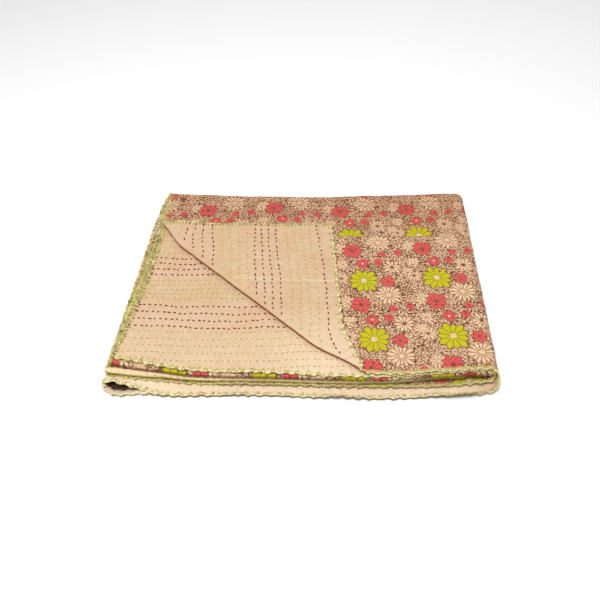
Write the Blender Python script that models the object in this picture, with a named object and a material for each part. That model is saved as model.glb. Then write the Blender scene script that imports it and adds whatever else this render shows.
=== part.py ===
"""A kantha quilt of two cloths, folded in quarters along its length and then in half.

The strip of four layers runs from left to right on top, turns down around its right end and runs
back to the left underneath, so eight layers lie on each other. The front left corner of the
highest layer is turned back over the stack, and that of the lowest layer is turned under it.

Units are metres, +Z is up and +Y is the far side. The origin lies under the middle of the stack.
"""

import math

import bmesh
import bpy
import numpy as np

# Cloth: two cloths lie on either side of the middle surface of each layer.
CLOTH_THICKNESS = 0.0012
CLOTH_GAP = 0.0003
HALF_LAYER = CLOTH_GAP / 2 + CLOTH_THICKNESS

# Stack: four layers above and four below the axis of the right-hand turn.
LAYER_PITCH = 0.0048
STACK_HEIGHT = 2 * (3.5 * LAYER_PITCH + HALF_LAYER)
AXIS_HEIGHT = STACK_HEIGHT / 2
TURN_X = 0.3200
TURN_LEAN = 0.042

# Distance of each quarter of the strip from the axis of the turn.
OUTER_QUARTER = 3.5 * LAYER_PITCH
INNER_QUARTER = 2.5 * LAYER_PITCH
FOLDED_QUARTER = 1.5 * LAYER_PITCH
AXIS_QUARTER = 0.5 * LAYER_PITCH

# The five lines across the strip, in the order in which the cloth passes them.
LINES = ("outer_edge", "outer_back_fold", "front_fold", "inner_back_fold", "inner_edge")

# Where each line lies: x of a station, then y of the lines there, for the upper four layers.
UPPER_LINES = (
    # x, outer_edge, outer_back_fold, front_fold, inner_back_fold, inner_edge
    (-0.345, -0.2275, 0.2450, -0.1950, 0.192, -0.189),
    (-0.300, -0.2275, 0.2450, -0.2035, 0.193, -0.197),
    (-0.250, -0.2265, 0.2425, -0.2105, 0.194, -0.207),
    (-0.180, -0.2250, 0.2395, -0.2165, 0.195, -0.214),
    (-0.060, -0.2215, 0.2362, -0.2200, 0.195, -0.218),
    (0.060, -0.2175, 0.2352, -0.2243, 0.196, -0.225),
    (0.150, -0.2240, 0.2385, -0.2255, 0.196, -0.225),
    (0.220, -0.2175, 0.2415, -0.2150, 0.197, -0.219),
    (0.310, -0.2130, 0.2460, -0.2135, 0.198, -0.213),
)

# The same for the lower four layers.
LOWER_LINES = (
    # x, outer_edge, outer_back_fold, front_fold, inner_back_fold, inner_edge
    (-0.460, -0.2270, 0.225, -0.2050, 0.186, -0.212),
    (-0.415, -0.2335, 0.225, -0.2050, 0.186, -0.212),
    (-0.372, -0.2400, 0.226, -0.2050, 0.187, -0.212),
    (-0.345, -0.2265, 0.226, -0.2045, 0.187, -0.212),
    (-0.300, -0.2335, 0.227, -0.2085, 0.188, -0.217),
    (-0.250, -0.2455, 0.228, -0.2115, 0.189, -0.221),
    (-0.180, -0.2455, 0.229, -0.2145, 0.190, -0.224),
    (-0.060, -0.2450, 0.230, -0.2165, 0.190, -0.226),
    (0.060, -0.2510, 0.231, -0.2200, 0.191, -0.230),
    (0.150, -0.2510, 0.232, -0.2195, 0.192, -0.231),
    (0.220, -0.2480, 0.233, -0.2120, 0.192, -0.230),
    (0.282, -0.2490, 0.234, -0.2090, 0.193, -0.225),
    (0.310, -0.2415, 0.234, -0.2080, 0.193, -0.222),
)

# Left end of each line, on the upper and on the lower layers.
LEFT_ENDS = (
    # line, upper x, lower x
    ("outer_edge", -0.2965, -0.4600),
    ("outer_back_fold", -0.2970, -0.3135),
    ("front_fold", -0.3385, -0.3440),
    ("inner_back_fold", -0.2960, -0.3100),
    ("inner_edge", -0.3350, -0.3415),
)

# The left edge of the highest layer bulges between its corner and the back of the fold line.
LEFT_BULGE = 0.0155
LEFT_BULGE_START = -0.2225
LEFT_BULGE_END = 0.156
BULGE_PEAK = 4.0 / 27.0
BACK_BULGE = 0.0085
BACK_BULGE_END = 0.2450

# The left end of the second highest layer is drawn in between its fold and its edge.
LEFT_HOLLOW = 0.0105

# Turned corners: the ends of each fold line, its round's radius and how far it bows outwards.
UPPER_TURN = {"back": (-0.2990, 0.156), "front": (0.0975, -0.2160), "radius": 0.0024, "bow": 0.017}
LOWER_TURN = {"back": (-0.3160, 0.160), "front": (-0.3450, -0.2400), "radius": 0.0040, "bow": 0.0}
BOW_FRONT_END = 0.105
BOW_BACK_END = 0.095

# The lower turned corner lifts the stack over itself.
LIFT_FRONT = 0.0100
LIFT_BACK = 0.0056
LIFT_FADE_BACK = 0.060
LIFT_FADE_RIGHT = 0.050
LIFT_LEFT_AT_TIP = 0.5
LIFT_TAKEN_UP = 0.25
TAIL_WIDTH_FRONT = 0.105
TAIL_WIDTH_LEAST = 0.020
TAIL_LENGTH = 0.84

# Soft unevenness of the upper layers, and the lowest edge curling up near its two ends.
WAVE_HEIGHT = 0.0011
WAVES = (
    # share, x rate, y rate, phase, then the x rate, y rate and phase that it is multiplied by
    (0.65, 11.0, 5.0, 0.6, -4.0, 9.0, 1.1),
    (0.35, 27.0, -8.0, 0.0, 6.0, 23.0, math.pi / 2),
)
EDGE_CURLS = (
    # x, reach to either side, height
    (0.245, 0.050, 0.0035),
    (-0.318, 0.034, 0.0045),
)
EDGE_CURL_DEPTH = 0.011

# Mesh steps.
STEPS_ON_TOP = 10
STEPS_AROUND_TURN = 8
STEPS_BELOW = 9
STEPS_ACROSS_QUARTER = (5, 3, 3, 5)
STEPS_AROUND_FOLD = (7, 5, 5)
STEPS_AROUND_CORNER = 6
CUT_TOLERANCE = 1e-7

PRINT_COLOUR = (0.47, 0.27, 0.19, 1.0)
CREAM_COLOUR = (0.82, 0.62, 0.42, 1.0)
COTTON_ROUGHNESS = 0.9


def clear_scene():
    """Removes whatever the file opened with."""
    for obj in list(bpy.data.objects):
        bpy.data.objects.remove(obj)


def fabric(name, colour):
    """A matt cotton."""
    material = bpy.data.materials.new(name)
    material.use_nodes = True
    shader = material.node_tree.nodes["Principled BSDF"]
    shader.inputs["Base Color"].default_value = colour
    shader.inputs["Roughness"].default_value = COTTON_ROUGHNESS
    shader.inputs["Metallic"].default_value = 0.0
    return material


def smooth(t):
    """Eases from 0 to 1 as t goes from 0 to 1."""
    t = np.clip(t, 0.0, 1.0)
    return t * t * (3.0 - 2.0 * t)


def along(start, end, t):
    """The value at fraction t of the way from start to end."""
    return start + (end - start) * t


def column(table, name):
    """The x values and one line's y values of a table of lines."""
    rows = np.array(table)
    return rows[:, 0], rows[:, 1 + LINES.index(name)]


def line_y(table, name, x):
    """The y of a line at x, on a smooth curve through its stations."""
    stations, values = column(table, name)
    slopes = np.gradient(values, stations)
    k = np.clip(np.searchsorted(stations, x) - 1, 0, len(stations) - 2)
    span = stations[k + 1] - stations[k]
    t = np.clip((x - stations[k]) / span, 0.0, 1.0)
    from_values = along(values[k], values[k + 1], smooth(t))
    from_slopes = t * (1.0 - t) * ((1.0 - t) * slopes[k] - t * slopes[k + 1]) * span
    return from_values + from_slopes


def turn_x(y):
    """The x of the axis of the right-hand turn, which leans with y."""
    return TURN_X + TURN_LEAN * y


def strip_rows():
    """One row for each mesh line along the strip: the lines it lies between, the fraction of the
    way from one to the other, its distance from the axis and its reach past a fold's centre."""
    quarters = (OUTER_QUARTER, AXIS_QUARTER, FOLDED_QUARTER, INNER_QUARTER)
    rows = []
    for quarter, steps in enumerate(STEPS_ACROSS_QUARTER):
        first = 0 if quarter == 0 else 1
        for step in range(first, steps + 1):
            rows.append((LINES[quarter], LINES[quarter + 1], step / steps, quarters[quarter], 0.0))
        if quarter == len(STEPS_ACROSS_QUARTER) - 1:
            break
        fold = LINES[quarter + 1]
        middle = (quarters[quarter] + quarters[quarter + 1]) / 2
        half = (quarters[quarter] - quarters[quarter + 1]) / 2
        side = 1.0 if fold.endswith("back_fold") else -1.0
        for step in range(1, STEPS_AROUND_FOLD[quarter] + 1):
            angle = math.pi * step / STEPS_AROUND_FOLD[quarter]
            reach = side * abs(half) * math.sin(angle)
            rows.append((fold, fold, 0.0, middle + half * math.cos(angle), reach))
    return rows


def left_end(row, lower):
    """The x at which a row of the strip ends on the left."""
    ends = {name: (upper, below) for name, upper, below in LEFT_ENDS}
    start = ends[row[0]][lower]
    end = ends[row[1]][lower]
    if lower and row[0] == "outer_edge":
        return along(start, end, min(row[2] / TAIL_LENGTH, 1.0))
    return along(start, end, row[2])


def left_bulge(y):
    """How far the left edge of the highest layer bulges at y, before and behind the turned corner."""
    t = np.clip((y - LEFT_BULGE_START) / (LEFT_BULGE_END - LEFT_BULGE_START), 0.0, 1.0)
    behind = np.clip((y - LEFT_BULGE_END) / (BACK_BULGE_END - LEFT_BULGE_END), 0.0, 1.0)
    return LEFT_BULGE * t * t * (1.0 - t) / BULGE_PEAK + BACK_BULGE * 4.0 * behind * (1.0 - behind)


def left_hollow(row):
    """How far the left end of a row of the second highest layer is drawn in."""
    if row[1] != "inner_edge":
        return 0.0
    return LEFT_HOLLOW * 4.0 * row[2] * (1.0 - row[2])


def row_y(table, row, x):
    """The y of a row of the strip at x."""
    start = line_y(table, row[0], x)
    end = line_y(table, row[1], x)
    return along(start, end, row[2]) + row[4]


def lift(x, y):
    """How far the turned-under corner raises what lies on it."""
    back = np.array(LOWER_TURN["back"])
    front = np.array(LOWER_TURN["front"])
    length = np.linalg.norm(back - front)
    ahead = (back - front) / length
    aside = np.array((ahead[1], -ahead[0]))
    run = ((x - front[0]) * ahead[0] + (y - front[1]) * ahead[1]) / length
    off = (x - front[0]) * aside[0] + (y - front[1]) * aside[1]
    width = TAIL_WIDTH_FRONT * np.clip(1.0 - run, 0.0, 1.0)
    height = along(LIFT_FRONT, LIFT_BACK, np.clip(run, 0.0, 1.0))
    height = height * (1.0 - smooth((run - 1.0) * length / LIFT_FADE_BACK))
    over_tail = 1.0 - (1.0 - LIFT_LEFT_AT_TIP) * np.clip(off / np.maximum(width, TAIL_WIDTH_LEAST), 0.0, 1.0)
    return height * over_tail * (1.0 - smooth((off - width) / LIFT_FADE_RIGHT))


def waves(x, y):
    """Soft unevenness between -1 and 1."""
    total = 0.0
    for share, x_rate, y_rate, phase, x_rate_2, y_rate_2, phase_2 in WAVES:
        first = np.sin(x_rate * x + y_rate * y + phase)
        total += share * first * np.sin(x_rate_2 * x + y_rate_2 * y + phase_2)
    return total


def edge_curl(x, y, height):
    """The lowest edge curls up near its two ends."""
    edge = line_y(LOWER_LINES, "outer_edge", x)
    near = np.exp(-(((y - edge) / EDGE_CURL_DEPTH) ** 2))
    rise = sum(height_there * np.exp(-(((x - at) / reach) ** 2)) for at, reach, height_there in EDGE_CURLS)
    return rise * near * (height < LAYER_PITCH)


def settled(x, y, height):
    """The height of a point of the stack once lift, waves and curl are added."""
    share = height / STACK_HEIGHT
    lifted = lift(x, y) * (1.0 - LIFT_TAKEN_UP * share)
    above = np.clip((height - HALF_LAYER) / STACK_HEIGHT, 0.0, 1.0)
    return height + lifted + WAVE_HEIGHT * above * waves(x, y) + edge_curl(x, y, height)


def stack_point(row, column_part, t):
    """A point of the middle surface: on top, around the turn or below, at fraction t."""
    right_upper = row_y(UPPER_LINES, row, TURN_X)
    right_lower = row_y(LOWER_LINES, row, TURN_X)
    if column_part == "top":
        x = along(left_end(row, 0) + left_hollow(row), turn_x(right_upper), t)
        y = row_y(UPPER_LINES, row, x)
        height = AXIS_HEIGHT + row[3]
    elif column_part == "turn":
        blend = (1.0 - math.cos(math.pi * t)) / 2
        y = along(right_upper, right_lower, blend)
        x = along(turn_x(right_upper), turn_x(right_lower), blend) + row[3] * math.sin(math.pi * t)
        height = AXIS_HEIGHT + row[3] * math.cos(math.pi * t)
    else:
        x = along(turn_x(right_lower), left_end(row, 1), t)
        y = row_y(LOWER_LINES, row, x)
        height = AXIS_HEIGHT - row[3]
    if column_part == "top" and row[0] == "outer_edge":
        x -= left_bulge(y) * (1.0 - t)
    return x, y, float(settled(x, y, height))


def strip_columns():
    """One entry for each mesh line across the strip: the part that it is on and its fraction."""
    columns = [("top", step / STEPS_ON_TOP) for step in range(STEPS_ON_TOP)]
    columns += [("turn", step / STEPS_AROUND_TURN) for step in range(STEPS_AROUND_TURN)]
    columns += [("below", step / STEPS_BELOW) for step in range(STEPS_BELOW + 1)]
    return columns


class Turn:
    """A corner folded over along a line, given in the plan of its own layer."""

    def __init__(self, spec, rises):
        self.front = np.array(spec["front"])
        span = np.array(spec["back"]) - self.front
        self.length = float(np.linalg.norm(span))
        self.ahead = span / self.length
        self.aside = np.array((self.ahead[1], -self.ahead[0]))
        self.radius = spec["radius"]
        self.bow_depth = spec["bow"]
        self.rises = rises

    def bow(self, run):
        """How far the fold line bows out at a distance along it."""
        from_front = smooth(run / BOW_FRONT_END)
        return self.bow_depth * float(from_front * smooth((self.length - run) / BOW_BACK_END))

    def to_plan(self, run, off):
        """The plan point at a distance along the line and off it."""
        return self.front + self.ahead * run + self.aside * off

    def to_line(self, x, y):
        """The distance along the line and off its bowed course."""
        offset = np.array((x, y)) - self.front
        run = float(offset @ self.ahead)
        return run, float(offset @ self.aside) + self.bow(run)

    def laid(self, run, off):
        """The plan point and the turned angle of a cloth point after the corner is folded."""
        round_length = math.pi * self.radius
        if off >= 0.0:
            angle = 0.0
            across = off
        elif off > -round_length:
            angle = -off / self.radius
            across = -self.radius * math.sin(angle)
        else:
            angle = math.pi
            across = -off - round_length
        x, y = self.to_plan(run, across - self.bow(run))
        return x, y, angle

    def place(self, run, off):
        """The point in space of a cloth point after the corner is folded."""
        x, y, angle = self.laid(run, off)
        share = (1.0 - math.cos(angle)) / 2
        if self.rises:
            height = float(settled(x, y, STACK_HEIGHT - HALF_LAYER))
            return x, y, height + 2 * self.radius * share
        height = float(settled(x, y, HALF_LAYER))
        return x, y, along(height, HALF_LAYER, share)


def fold_corner(grid, patch, turn):
    """Cuts a patch of the sheet along the round of its turned corner, then lays it over.

    While it is cut, a vertex holds its distances along and off the fold line."""
    for vert in patch:
        run, off = turn.to_line(vert.co.x, vert.co.y)
        vert.co = (run, off, 0.0)
    faces = [face for face in grid.faces if all(vert in patch for vert in face.verts)]
    others = set(grid.verts) - patch
    step = math.pi * turn.radius / STEPS_AROUND_CORNER
    for cut in range(STEPS_AROUND_CORNER + 1):
        edges = {edge for face in faces for edge in face.edges}
        verts = {vert for face in faces for vert in face.verts}
        cut_parts = bmesh.ops.bisect_plane(
            grid,
            geom=list(verts) + list(edges) + faces,
            dist=CUT_TOLERANCE,
            plane_co=(0.0, -cut * step, 0.0),
            plane_no=(0.0, 1.0, 0.0),
        )
        faces = [part for part in cut_parts["geom"] if isinstance(part, bmesh.types.BMFace)]
    for vert in set(grid.verts) - others:
        vert.co = turn.place(vert.co.x, vert.co.y)


def middle_surface():
    """The middle surface of the whole folded quilt, its normals towards the printed cloth."""
    grid = bmesh.new()
    rows = strip_rows()
    columns = strip_columns()
    verts = [[grid.verts.new(stack_point(row, *column)) for row in rows] for column in columns]
    for i in range(len(columns) - 1):
        for j in range(len(rows) - 1):
            grid.faces.new((verts[i][j], verts[i + 1][j], verts[i + 1][j + 1], verts[i][j + 1]))
    across_outer = STEPS_ACROSS_QUARTER[0] + 1
    upper = {vert for line in verts[: STEPS_ON_TOP + 1] for vert in line[:across_outer]}
    lower = {vert for line in verts[-STEPS_BELOW - 1 :] for vert in line[:across_outer]}
    fold_corner(grid, upper, Turn(UPPER_TURN, True))
    fold_corner(grid, lower, Turn(LOWER_TURN, False))
    bmesh.ops.triangulate(grid, faces=grid.faces[:])
    grid.normal_update()
    grid.verts.index_update()
    return grid


def cloth(name, middle, near, far, material):
    """One cloth: the solid between two offsets from the middle surface."""
    solid = bmesh.new()
    inner = [solid.verts.new(vert.co + vert.normal * near) for vert in middle.verts]
    outer = [solid.verts.new(vert.co + vert.normal * far) for vert in middle.verts]
    for face in middle.faces:
        corners = [vert.index for vert in face.verts]
        solid.faces.new([outer[k] for k in corners])
        solid.faces.new([inner[k] for k in reversed(corners)])
    for edge in middle.edges:
        if edge.is_boundary:
            loop = edge.link_loops[0]
            start = loop.vert.index
            end = loop.link_loop_next.vert.index
            solid.faces.new((inner[start], inner[end], outer[end], outer[start]))
    mesh = bpy.data.meshes.new(name)
    bmesh.ops.triangulate(solid, faces=solid.faces[:])
    solid.to_mesh(mesh)
    solid.free()
    mesh.materials.append(material)
    mesh.shade_smooth()
    obj = bpy.data.objects.new(name, mesh)
    bpy.context.collection.objects.link(obj)
    return obj


def build():
    """Builds the two cloths of the quilt."""
    clear_scene()
    middle = middle_surface()
    near = CLOTH_GAP / 2
    printed = fabric("printed_cotton", PRINT_COLOUR)
    cream = fabric("cream_cotton", CREAM_COLOUR)
    cloth("printed_top", middle, near, HALF_LAYER, printed)
    cloth("cream_backing", middle, -HALF_LAYER, -near, cream)
    middle.free()


build()
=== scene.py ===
"""A folded kantha quilt: two cloths on one folded middle surface, and the thread that holds them.

Every point of the quilt has two strip coordinates. q runs across the strip from its outer edge
(0) to its inner edge (7): even spans are the four quarters, odd spans are the folds between them.
c runs along the strip: 0 to 1 on top, 1 to 2 around the right-hand turn, 2 to 3 underneath.
Units are metres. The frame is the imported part's own.
"""

import math

import bmesh
import bpy
import numpy as np
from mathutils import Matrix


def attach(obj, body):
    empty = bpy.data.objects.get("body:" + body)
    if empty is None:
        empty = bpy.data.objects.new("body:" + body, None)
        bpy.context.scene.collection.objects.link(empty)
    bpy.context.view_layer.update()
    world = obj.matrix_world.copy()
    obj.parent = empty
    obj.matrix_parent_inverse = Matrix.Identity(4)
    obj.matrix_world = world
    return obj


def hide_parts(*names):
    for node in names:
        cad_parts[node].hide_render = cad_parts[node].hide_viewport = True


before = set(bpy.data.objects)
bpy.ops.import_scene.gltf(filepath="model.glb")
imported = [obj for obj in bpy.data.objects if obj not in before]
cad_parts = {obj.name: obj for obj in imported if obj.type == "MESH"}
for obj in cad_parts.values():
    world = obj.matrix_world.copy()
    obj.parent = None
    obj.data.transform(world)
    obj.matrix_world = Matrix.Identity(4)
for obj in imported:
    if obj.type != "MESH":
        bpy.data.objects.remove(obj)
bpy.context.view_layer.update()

# Stack of four layers above and four below the axis of the right-hand turn.
HALF_LAYER = 0.00135
LAYER_PITCH = 0.0048
STACK_HEIGHT = 2 * (3.5 * LAYER_PITCH + HALF_LAYER)
AXIS_HEIGHT = STACK_HEIGHT / 2
TURN_X = 0.3200
TURN_LEAN = 0.042

# Distance of each quarter of the strip from the axis: outer, axis, folded and inner quarter.
QUARTER_DISTANCES = np.array((3.5, 0.5, 1.5, 2.5)) * LAYER_PITCH
BACK_FOLDS = (1, 3)

# Lines across the strip: x of a station, then y of the lines there, for the upper four layers.
UPPER_LINES = np.array((
    # x, outer edge, outer back fold, front fold, inner back fold, inner edge
    (-0.345, -0.2275, 0.2450, -0.1950, 0.192, -0.189),
    (-0.300, -0.2275, 0.2450, -0.2035, 0.193, -0.197),
    (-0.250, -0.2265, 0.2425, -0.2105, 0.194, -0.207),
    (-0.180, -0.2250, 0.2395, -0.2165, 0.195, -0.214),
    (-0.060, -0.2215, 0.2362, -0.2200, 0.195, -0.218),
    (0.060, -0.2175, 0.2352, -0.2243, 0.196, -0.225),
    (0.150, -0.2240, 0.2385, -0.2255, 0.196, -0.225),
    (0.220, -0.2175, 0.2415, -0.2150, 0.197, -0.219),
    (0.310, -0.2130, 0.2460, -0.2135, 0.198, -0.213),
))

# The same for the lower four layers.
LOWER_LINES = np.array((
    # x, outer edge, outer back fold, front fold, inner back fold, inner edge
    (-0.460, -0.2270, 0.225, -0.2050, 0.186, -0.212),
    (-0.415, -0.2335, 0.225, -0.2050, 0.186, -0.212),
    (-0.372, -0.2400, 0.226, -0.2050, 0.187, -0.212),
    (-0.345, -0.2265, 0.226, -0.2045, 0.187, -0.212),
    (-0.300, -0.2335, 0.227, -0.2085, 0.188, -0.217),
    (-0.250, -0.2455, 0.228, -0.2115, 0.189, -0.221),
    (-0.180, -0.2455, 0.229, -0.2145, 0.190, -0.224),
    (-0.060, -0.2450, 0.230, -0.2165, 0.190, -0.226),
    (0.060, -0.2510, 0.231, -0.2200, 0.191, -0.230),
    (0.150, -0.2510, 0.232, -0.2195, 0.192, -0.231),
    (0.220, -0.2480, 0.233, -0.2120, 0.192, -0.230),
    (0.282, -0.2490, 0.234, -0.2090, 0.193, -0.225),
    (0.310, -0.2415, 0.234, -0.2080, 0.193, -0.222),
))

# Left end of each line, on the upper and on the lower layers.
LEFT_ENDS = np.array((
    # upper x, lower x
    (-0.2965, -0.4600),  # outer edge
    (-0.2970, -0.3135),  # outer back fold
    (-0.3385, -0.3440),  # front fold
    (-0.2960, -0.3100),  # inner back fold
    (-0.3350, -0.3415),  # inner edge
))
# Below, the outer quarter's left end has come in fully at this share of its width.
TAIL_LENGTH = 0.84

# The highest layer's left edge bulges between two y and again behind them, and the inner
# quarter's left end is drawn in. BULGE_PEAK is the largest value of t * t * (1 - t).
LEFT_BULGE = 0.0155
LEFT_BULGE_START = -0.2225
LEFT_BULGE_END = 0.156
BULGE_PEAK = 4.0 / 27.0
BACK_BULGE = 0.0085
BACK_BULGE_END = 0.2450
LEFT_HOLLOW = 0.0105

# Turned corners: the ends of each fold line, its round's radius and how far it bows outwards.
UPPER_TURN = {"back": (-0.2990, 0.156), "front": (0.0975, -0.2160), "radius": 0.0024, "bow": 0.017}
LOWER_TURN = {"back": (-0.3160, 0.160), "front": (-0.3450, -0.2400), "radius": 0.0040, "bow": 0.0}
BOW_FRONT_END = 0.105
BOW_BACK_END = 0.095
CORNER_CUTS = 8

# The lower turned corner lifts the stack over itself.
LIFT_FRONT = 0.0100
LIFT_BACK = 0.0056
LIFT_FADE_BACK = 0.060
LIFT_FADE_RIGHT = 0.050
LIFT_LEFT_AT_TIP = 0.5
LIFT_TAKEN_UP = 0.25
TAIL_WIDTH_FRONT = 0.105
TAIL_WIDTH_LEAST = 0.020

# Soft unevenness of the whole stack, and where the lowest layer's front edge is raised.
WAVE_HEIGHT = 0.0011
WAVES = (
    # share, x rate, y rate, phase, then the x rate, y rate and phase that it is multiplied by
    (0.65, 11.0, 5.0, 0.6, -4.0, 9.0, 1.1),
    (0.35, 27.0, -8.0, 0.0, 6.0, 23.0, math.pi / 2),
)
EDGE_CURLS = (
    # x, reach to either side, height
    (0.245, 0.050, 0.0035),
    (-0.318, 0.034, 0.0045),
)
EDGE_CURL_DEPTH = 0.011

# Cloth coordinates: u is measured from the turn, v from this y of the outer quarter.
CLOTH_ORIGIN_Y = -0.2225
FRONT_FOLD_V = 0.955
INNER_EDGE_V = 1.789
INNER_EDGE_Y = -0.2205

# Puffed thickness of one layer, from the middle surface to either cloth.
ROW_HEIGHT = 0.00085
PUFF_HEIGHT = 0.00065
RIM_HEIGHT = 0.00018
RIM_WIDTH = 0.0028
PUFF_DIMPLE = 0.25
HEM_HEIGHT = 0.0003
HEM_WIDTH = 0.0075
HEM_SLOPE = 0.002
HEM_TROUGH = 0.45
HEM_TROUGH_OFF = 0.001
HEM_TROUGH_REACH = 0.0016

# Noises over the cloth: amount, size along u, size along v and seed. ROW_DRIFTS moves the rows
# of stitches along v, SMALL_WAVES moves the cloth up and down.
ROW_DRIFTS = ((0.0050, 0.15, 0.12, 3), (0.0026, 0.055, 0.04, 4))
SMALL_WAVES = ((0.00030, 0.0085, 0.014, 10), (0.00060, 0.040, 0.028, 11))

# The lowest rim stands up off the floor and outwards. What lies higher than LOWEST_TO doesn't.
# Left of RIM_RISE_LEFT it fades between the heights RIM_RISE_FULL and RIM_RISE_FROM.
LOWEST_TO = 0.012
RIM_RISE = 0.0046
RIM_RISE_REACH = 0.0065
RIM_OUT = 0.0014
RIM_RISE_LEFT = -0.15
RIM_RISE_FROM = 0.0055
RIM_RISE_FULL = 0.0025

# Scallops that the edge thread draws into the rims, and waves along the rims.
SCALLOP_LENGTH = 0.0185
SCALLOP_DEPTH = 0.0019
SCALLOP_DEPTH_LEFT = 0.0009
SCALLOP_REACH = 0.008
RIM_WAVE = 0.0013
RIM_WAVE_LENGTH = 0.017
RIM_WAVE_REACH = 0.012

# The lowest layer's printed rim hangs towards the floor.
RIM_HANG = 0.0054
RIM_HANG_REACH = 0.0045
RIM_HANG_START = 0.0003

# How far the free edge under the folded front sinks, and how far that front stands out.
INNER_RIM_DROP = 0.0013
INNER_RIM_DROP_REACH = 0.010
LOWER_FRONT_OUT = 0.0030
LOWER_FRONT_V = 0.9588
LOWER_FRONT_REACH = 0.010

# The upper folded front stands out near the turn: x, how far it reaches to either side, how far.
FRONT_BULGE = (0.232, 0.042, 0.0048)

# Stretches of the lowest rim that curl up: x, how far they reach to either side, and how strongly.
RIM_CURLS = ((0.275, 0.034, 1.0), (0.058, 0.030, 0.6), (-0.120, 0.020, 0.3))
RIM_CURL_WIDTH = 0.0095
RIM_CURL_RADIUS = 0.0056

# The opening of the turned-under corner: its lip, and how soon the painted shade behind that is
# dark.
TAIL_LIP = 0.0080
TAIL_SHADE_REACH = 0.0040

# A crease left across the turned-back corner: u and v of its two ends.
CREASE = ((-0.4765, 0.204), (-0.4565, 0.020))
CREASE_DEPTH = 0.0026
CREASE_REACH = 0.009
CREASE_FADE = 0.02

# Rows of running stitches over the strip, in groups.
ROW_GROUPS = (
    # first v, spacing, rows, thread
    (0.0230, 0.0165, 1, "brown"),
    (0.0400, 0.0162, 4, "green"),
    (0.1070, 0.0152, 4, "brown"),
    (0.1680, 0.0172, 4, "green"),
    (0.2390, 0.0200, 4, "brown"),
    (0.3200, 0.0150, 5, "green"),
    (0.3960, 0.0165, 4, "brown"),
    (0.4620, 0.0165, 4, "green"),
    (0.5280, 0.0165, 4, "brown"),
    (0.5940, 0.0165, 5, "green"),
    (0.6765, 0.0165, 4, "brown"),
    (0.7425, 0.0165, 5, "green"),
    (0.8250, 0.0165, 4, "brown"),
    (0.8910, 0.0165, 7, "green"),
    (1.0065, 0.0165, 4, "brown"),
    (1.0725, 0.0165, 5, "green"),
    (1.1550, 0.0165, 4, "brown"),
    (1.2210, 0.0165, 5, "green"),
    (1.3035, 0.0165, 4, "brown"),
    (1.3695, 0.0185, 8, "green"),
    (1.5150, 0.0152, 4, "brown"),
    (1.5755, 0.0112, 5, "green"),
    (1.6400, 0.0167, 4, "brown"),
    (1.7000, 0.0150, 6, "green"),
)
# From one stitch of a row to the next one on the same side, and the same beyond a certain v.
STITCH_PITCH = 0.0124
INNER_PITCH = 0.0098
INNER_PITCH_FROM = 1.36
# How far a row's stitches start and end from the cloth's edges.
ROW_START = 0.004
ROW_END = 0.012
STITCH_LENGTH = {"brown": 0.0074, "green": 0.0060}
STITCH_RADIUS = {"brown": 0.00122, "green": 0.00085}
# On the printed side the thread has this share of its radius.
PRINT_SIDE_GIRTH = 0.55
# Heights of the points along a stitch over the cloth, as shares of its radius.
STITCH_ARCH = (-0.7, 0.45, 0.7, 0.45, -0.7)
# Random differences: shares of the length, then how far a stitch is shifted along its row, and
# how far it lies off the row and slants, in strip coordinates.
STITCH_STRETCH = (0.48, 1.22)
STITCH_SHIFT = 0.0011
STITCH_ASTRAY = 0.0022
STITCH_SLANT = 0.0040

# Bounds of what can be seen: behind the turned-back corner's fold line, right of that line on
# the layer under it, at the folded quarter's left end, and in from the two lower front edges.
SEEN_TURNED = -0.012
SEEN_UNDER = 0.03
SEEN_LEFT_X = -0.285
SEEN_INNER_FRONT = 0.03
SEEN_OUTER_FRONT = 0.035

FLOOR_SIZE = 6.0
FLOOR_GAP = 0.0001
CAMERA_PLACE = (-0.0105, -0.790, 0.8763)
CAMERA_PITCH = 49.0
CAMERA_LENS = 36.0
CAMERA_SENSOR = 36.0
WORLD_STRENGTH = 0.47
LIGHTS = (
    # name, place, size, power
    ("key", (-0.4, -0.60, 2.4), 1.1, 47.0),
    ("back", (0.9, 1.2, 2.0), 1.6, 7.0),
)


def smooth(t):
    """Eases from 0 to 1 as t goes from 0 to 1."""
    t = np.clip(t, 0.0, 1.0)
    return t * t * (3.0 - 2.0 * t)


def along(start, end, t):
    """The value at fraction t of the way from start to end."""
    return start + (end - start) * t


def lattice_value(ix, iy, seed):
    """A fixed random value from -1 to 1 for each whole-numbered place."""
    wild = np.sin(ix * 127.1 + iy * 311.7 + seed * 74.7) * 43758.5453
    return 2.0 * (wild - np.floor(wild)) - 1.0


def noise(x, y, seed):
    """Smooth noise from -1 to 1 with features one unit wide."""
    ix = np.floor(x)
    iy = np.floor(y)
    tx = smooth(x - ix)
    ty = smooth(y - iy)
    low = along(lattice_value(ix, iy, seed), lattice_value(ix + 1, iy, seed), tx)
    high = along(lattice_value(ix, iy + 1, seed), lattice_value(ix + 1, iy + 1, seed), tx)
    return along(low, high, ty)


# ---------------------------------------------------------------------------- middle surface


def line_y(table, line, x):
    """The y of a line at x, on a smooth curve through its stations."""
    stations = table[:, 0]
    values = table[:, 1 + line]
    slopes = np.gradient(values, stations)
    k = np.clip(np.searchsorted(stations, x) - 1, 0, len(stations) - 2)
    span = stations[k + 1] - stations[k]
    t = np.clip((x - stations[k]) / span, 0.0, 1.0)
    curve = t * (1.0 - t) * ((1.0 - t) * slopes[k] - t * slopes[k + 1]) * span
    return along(values[k], values[k + 1], smooth(t)) + curve


def all_lines(table, x):
    """The y of all five lines at x."""
    return np.array([line_y(table, line, x) for line in range(5)])


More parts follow.
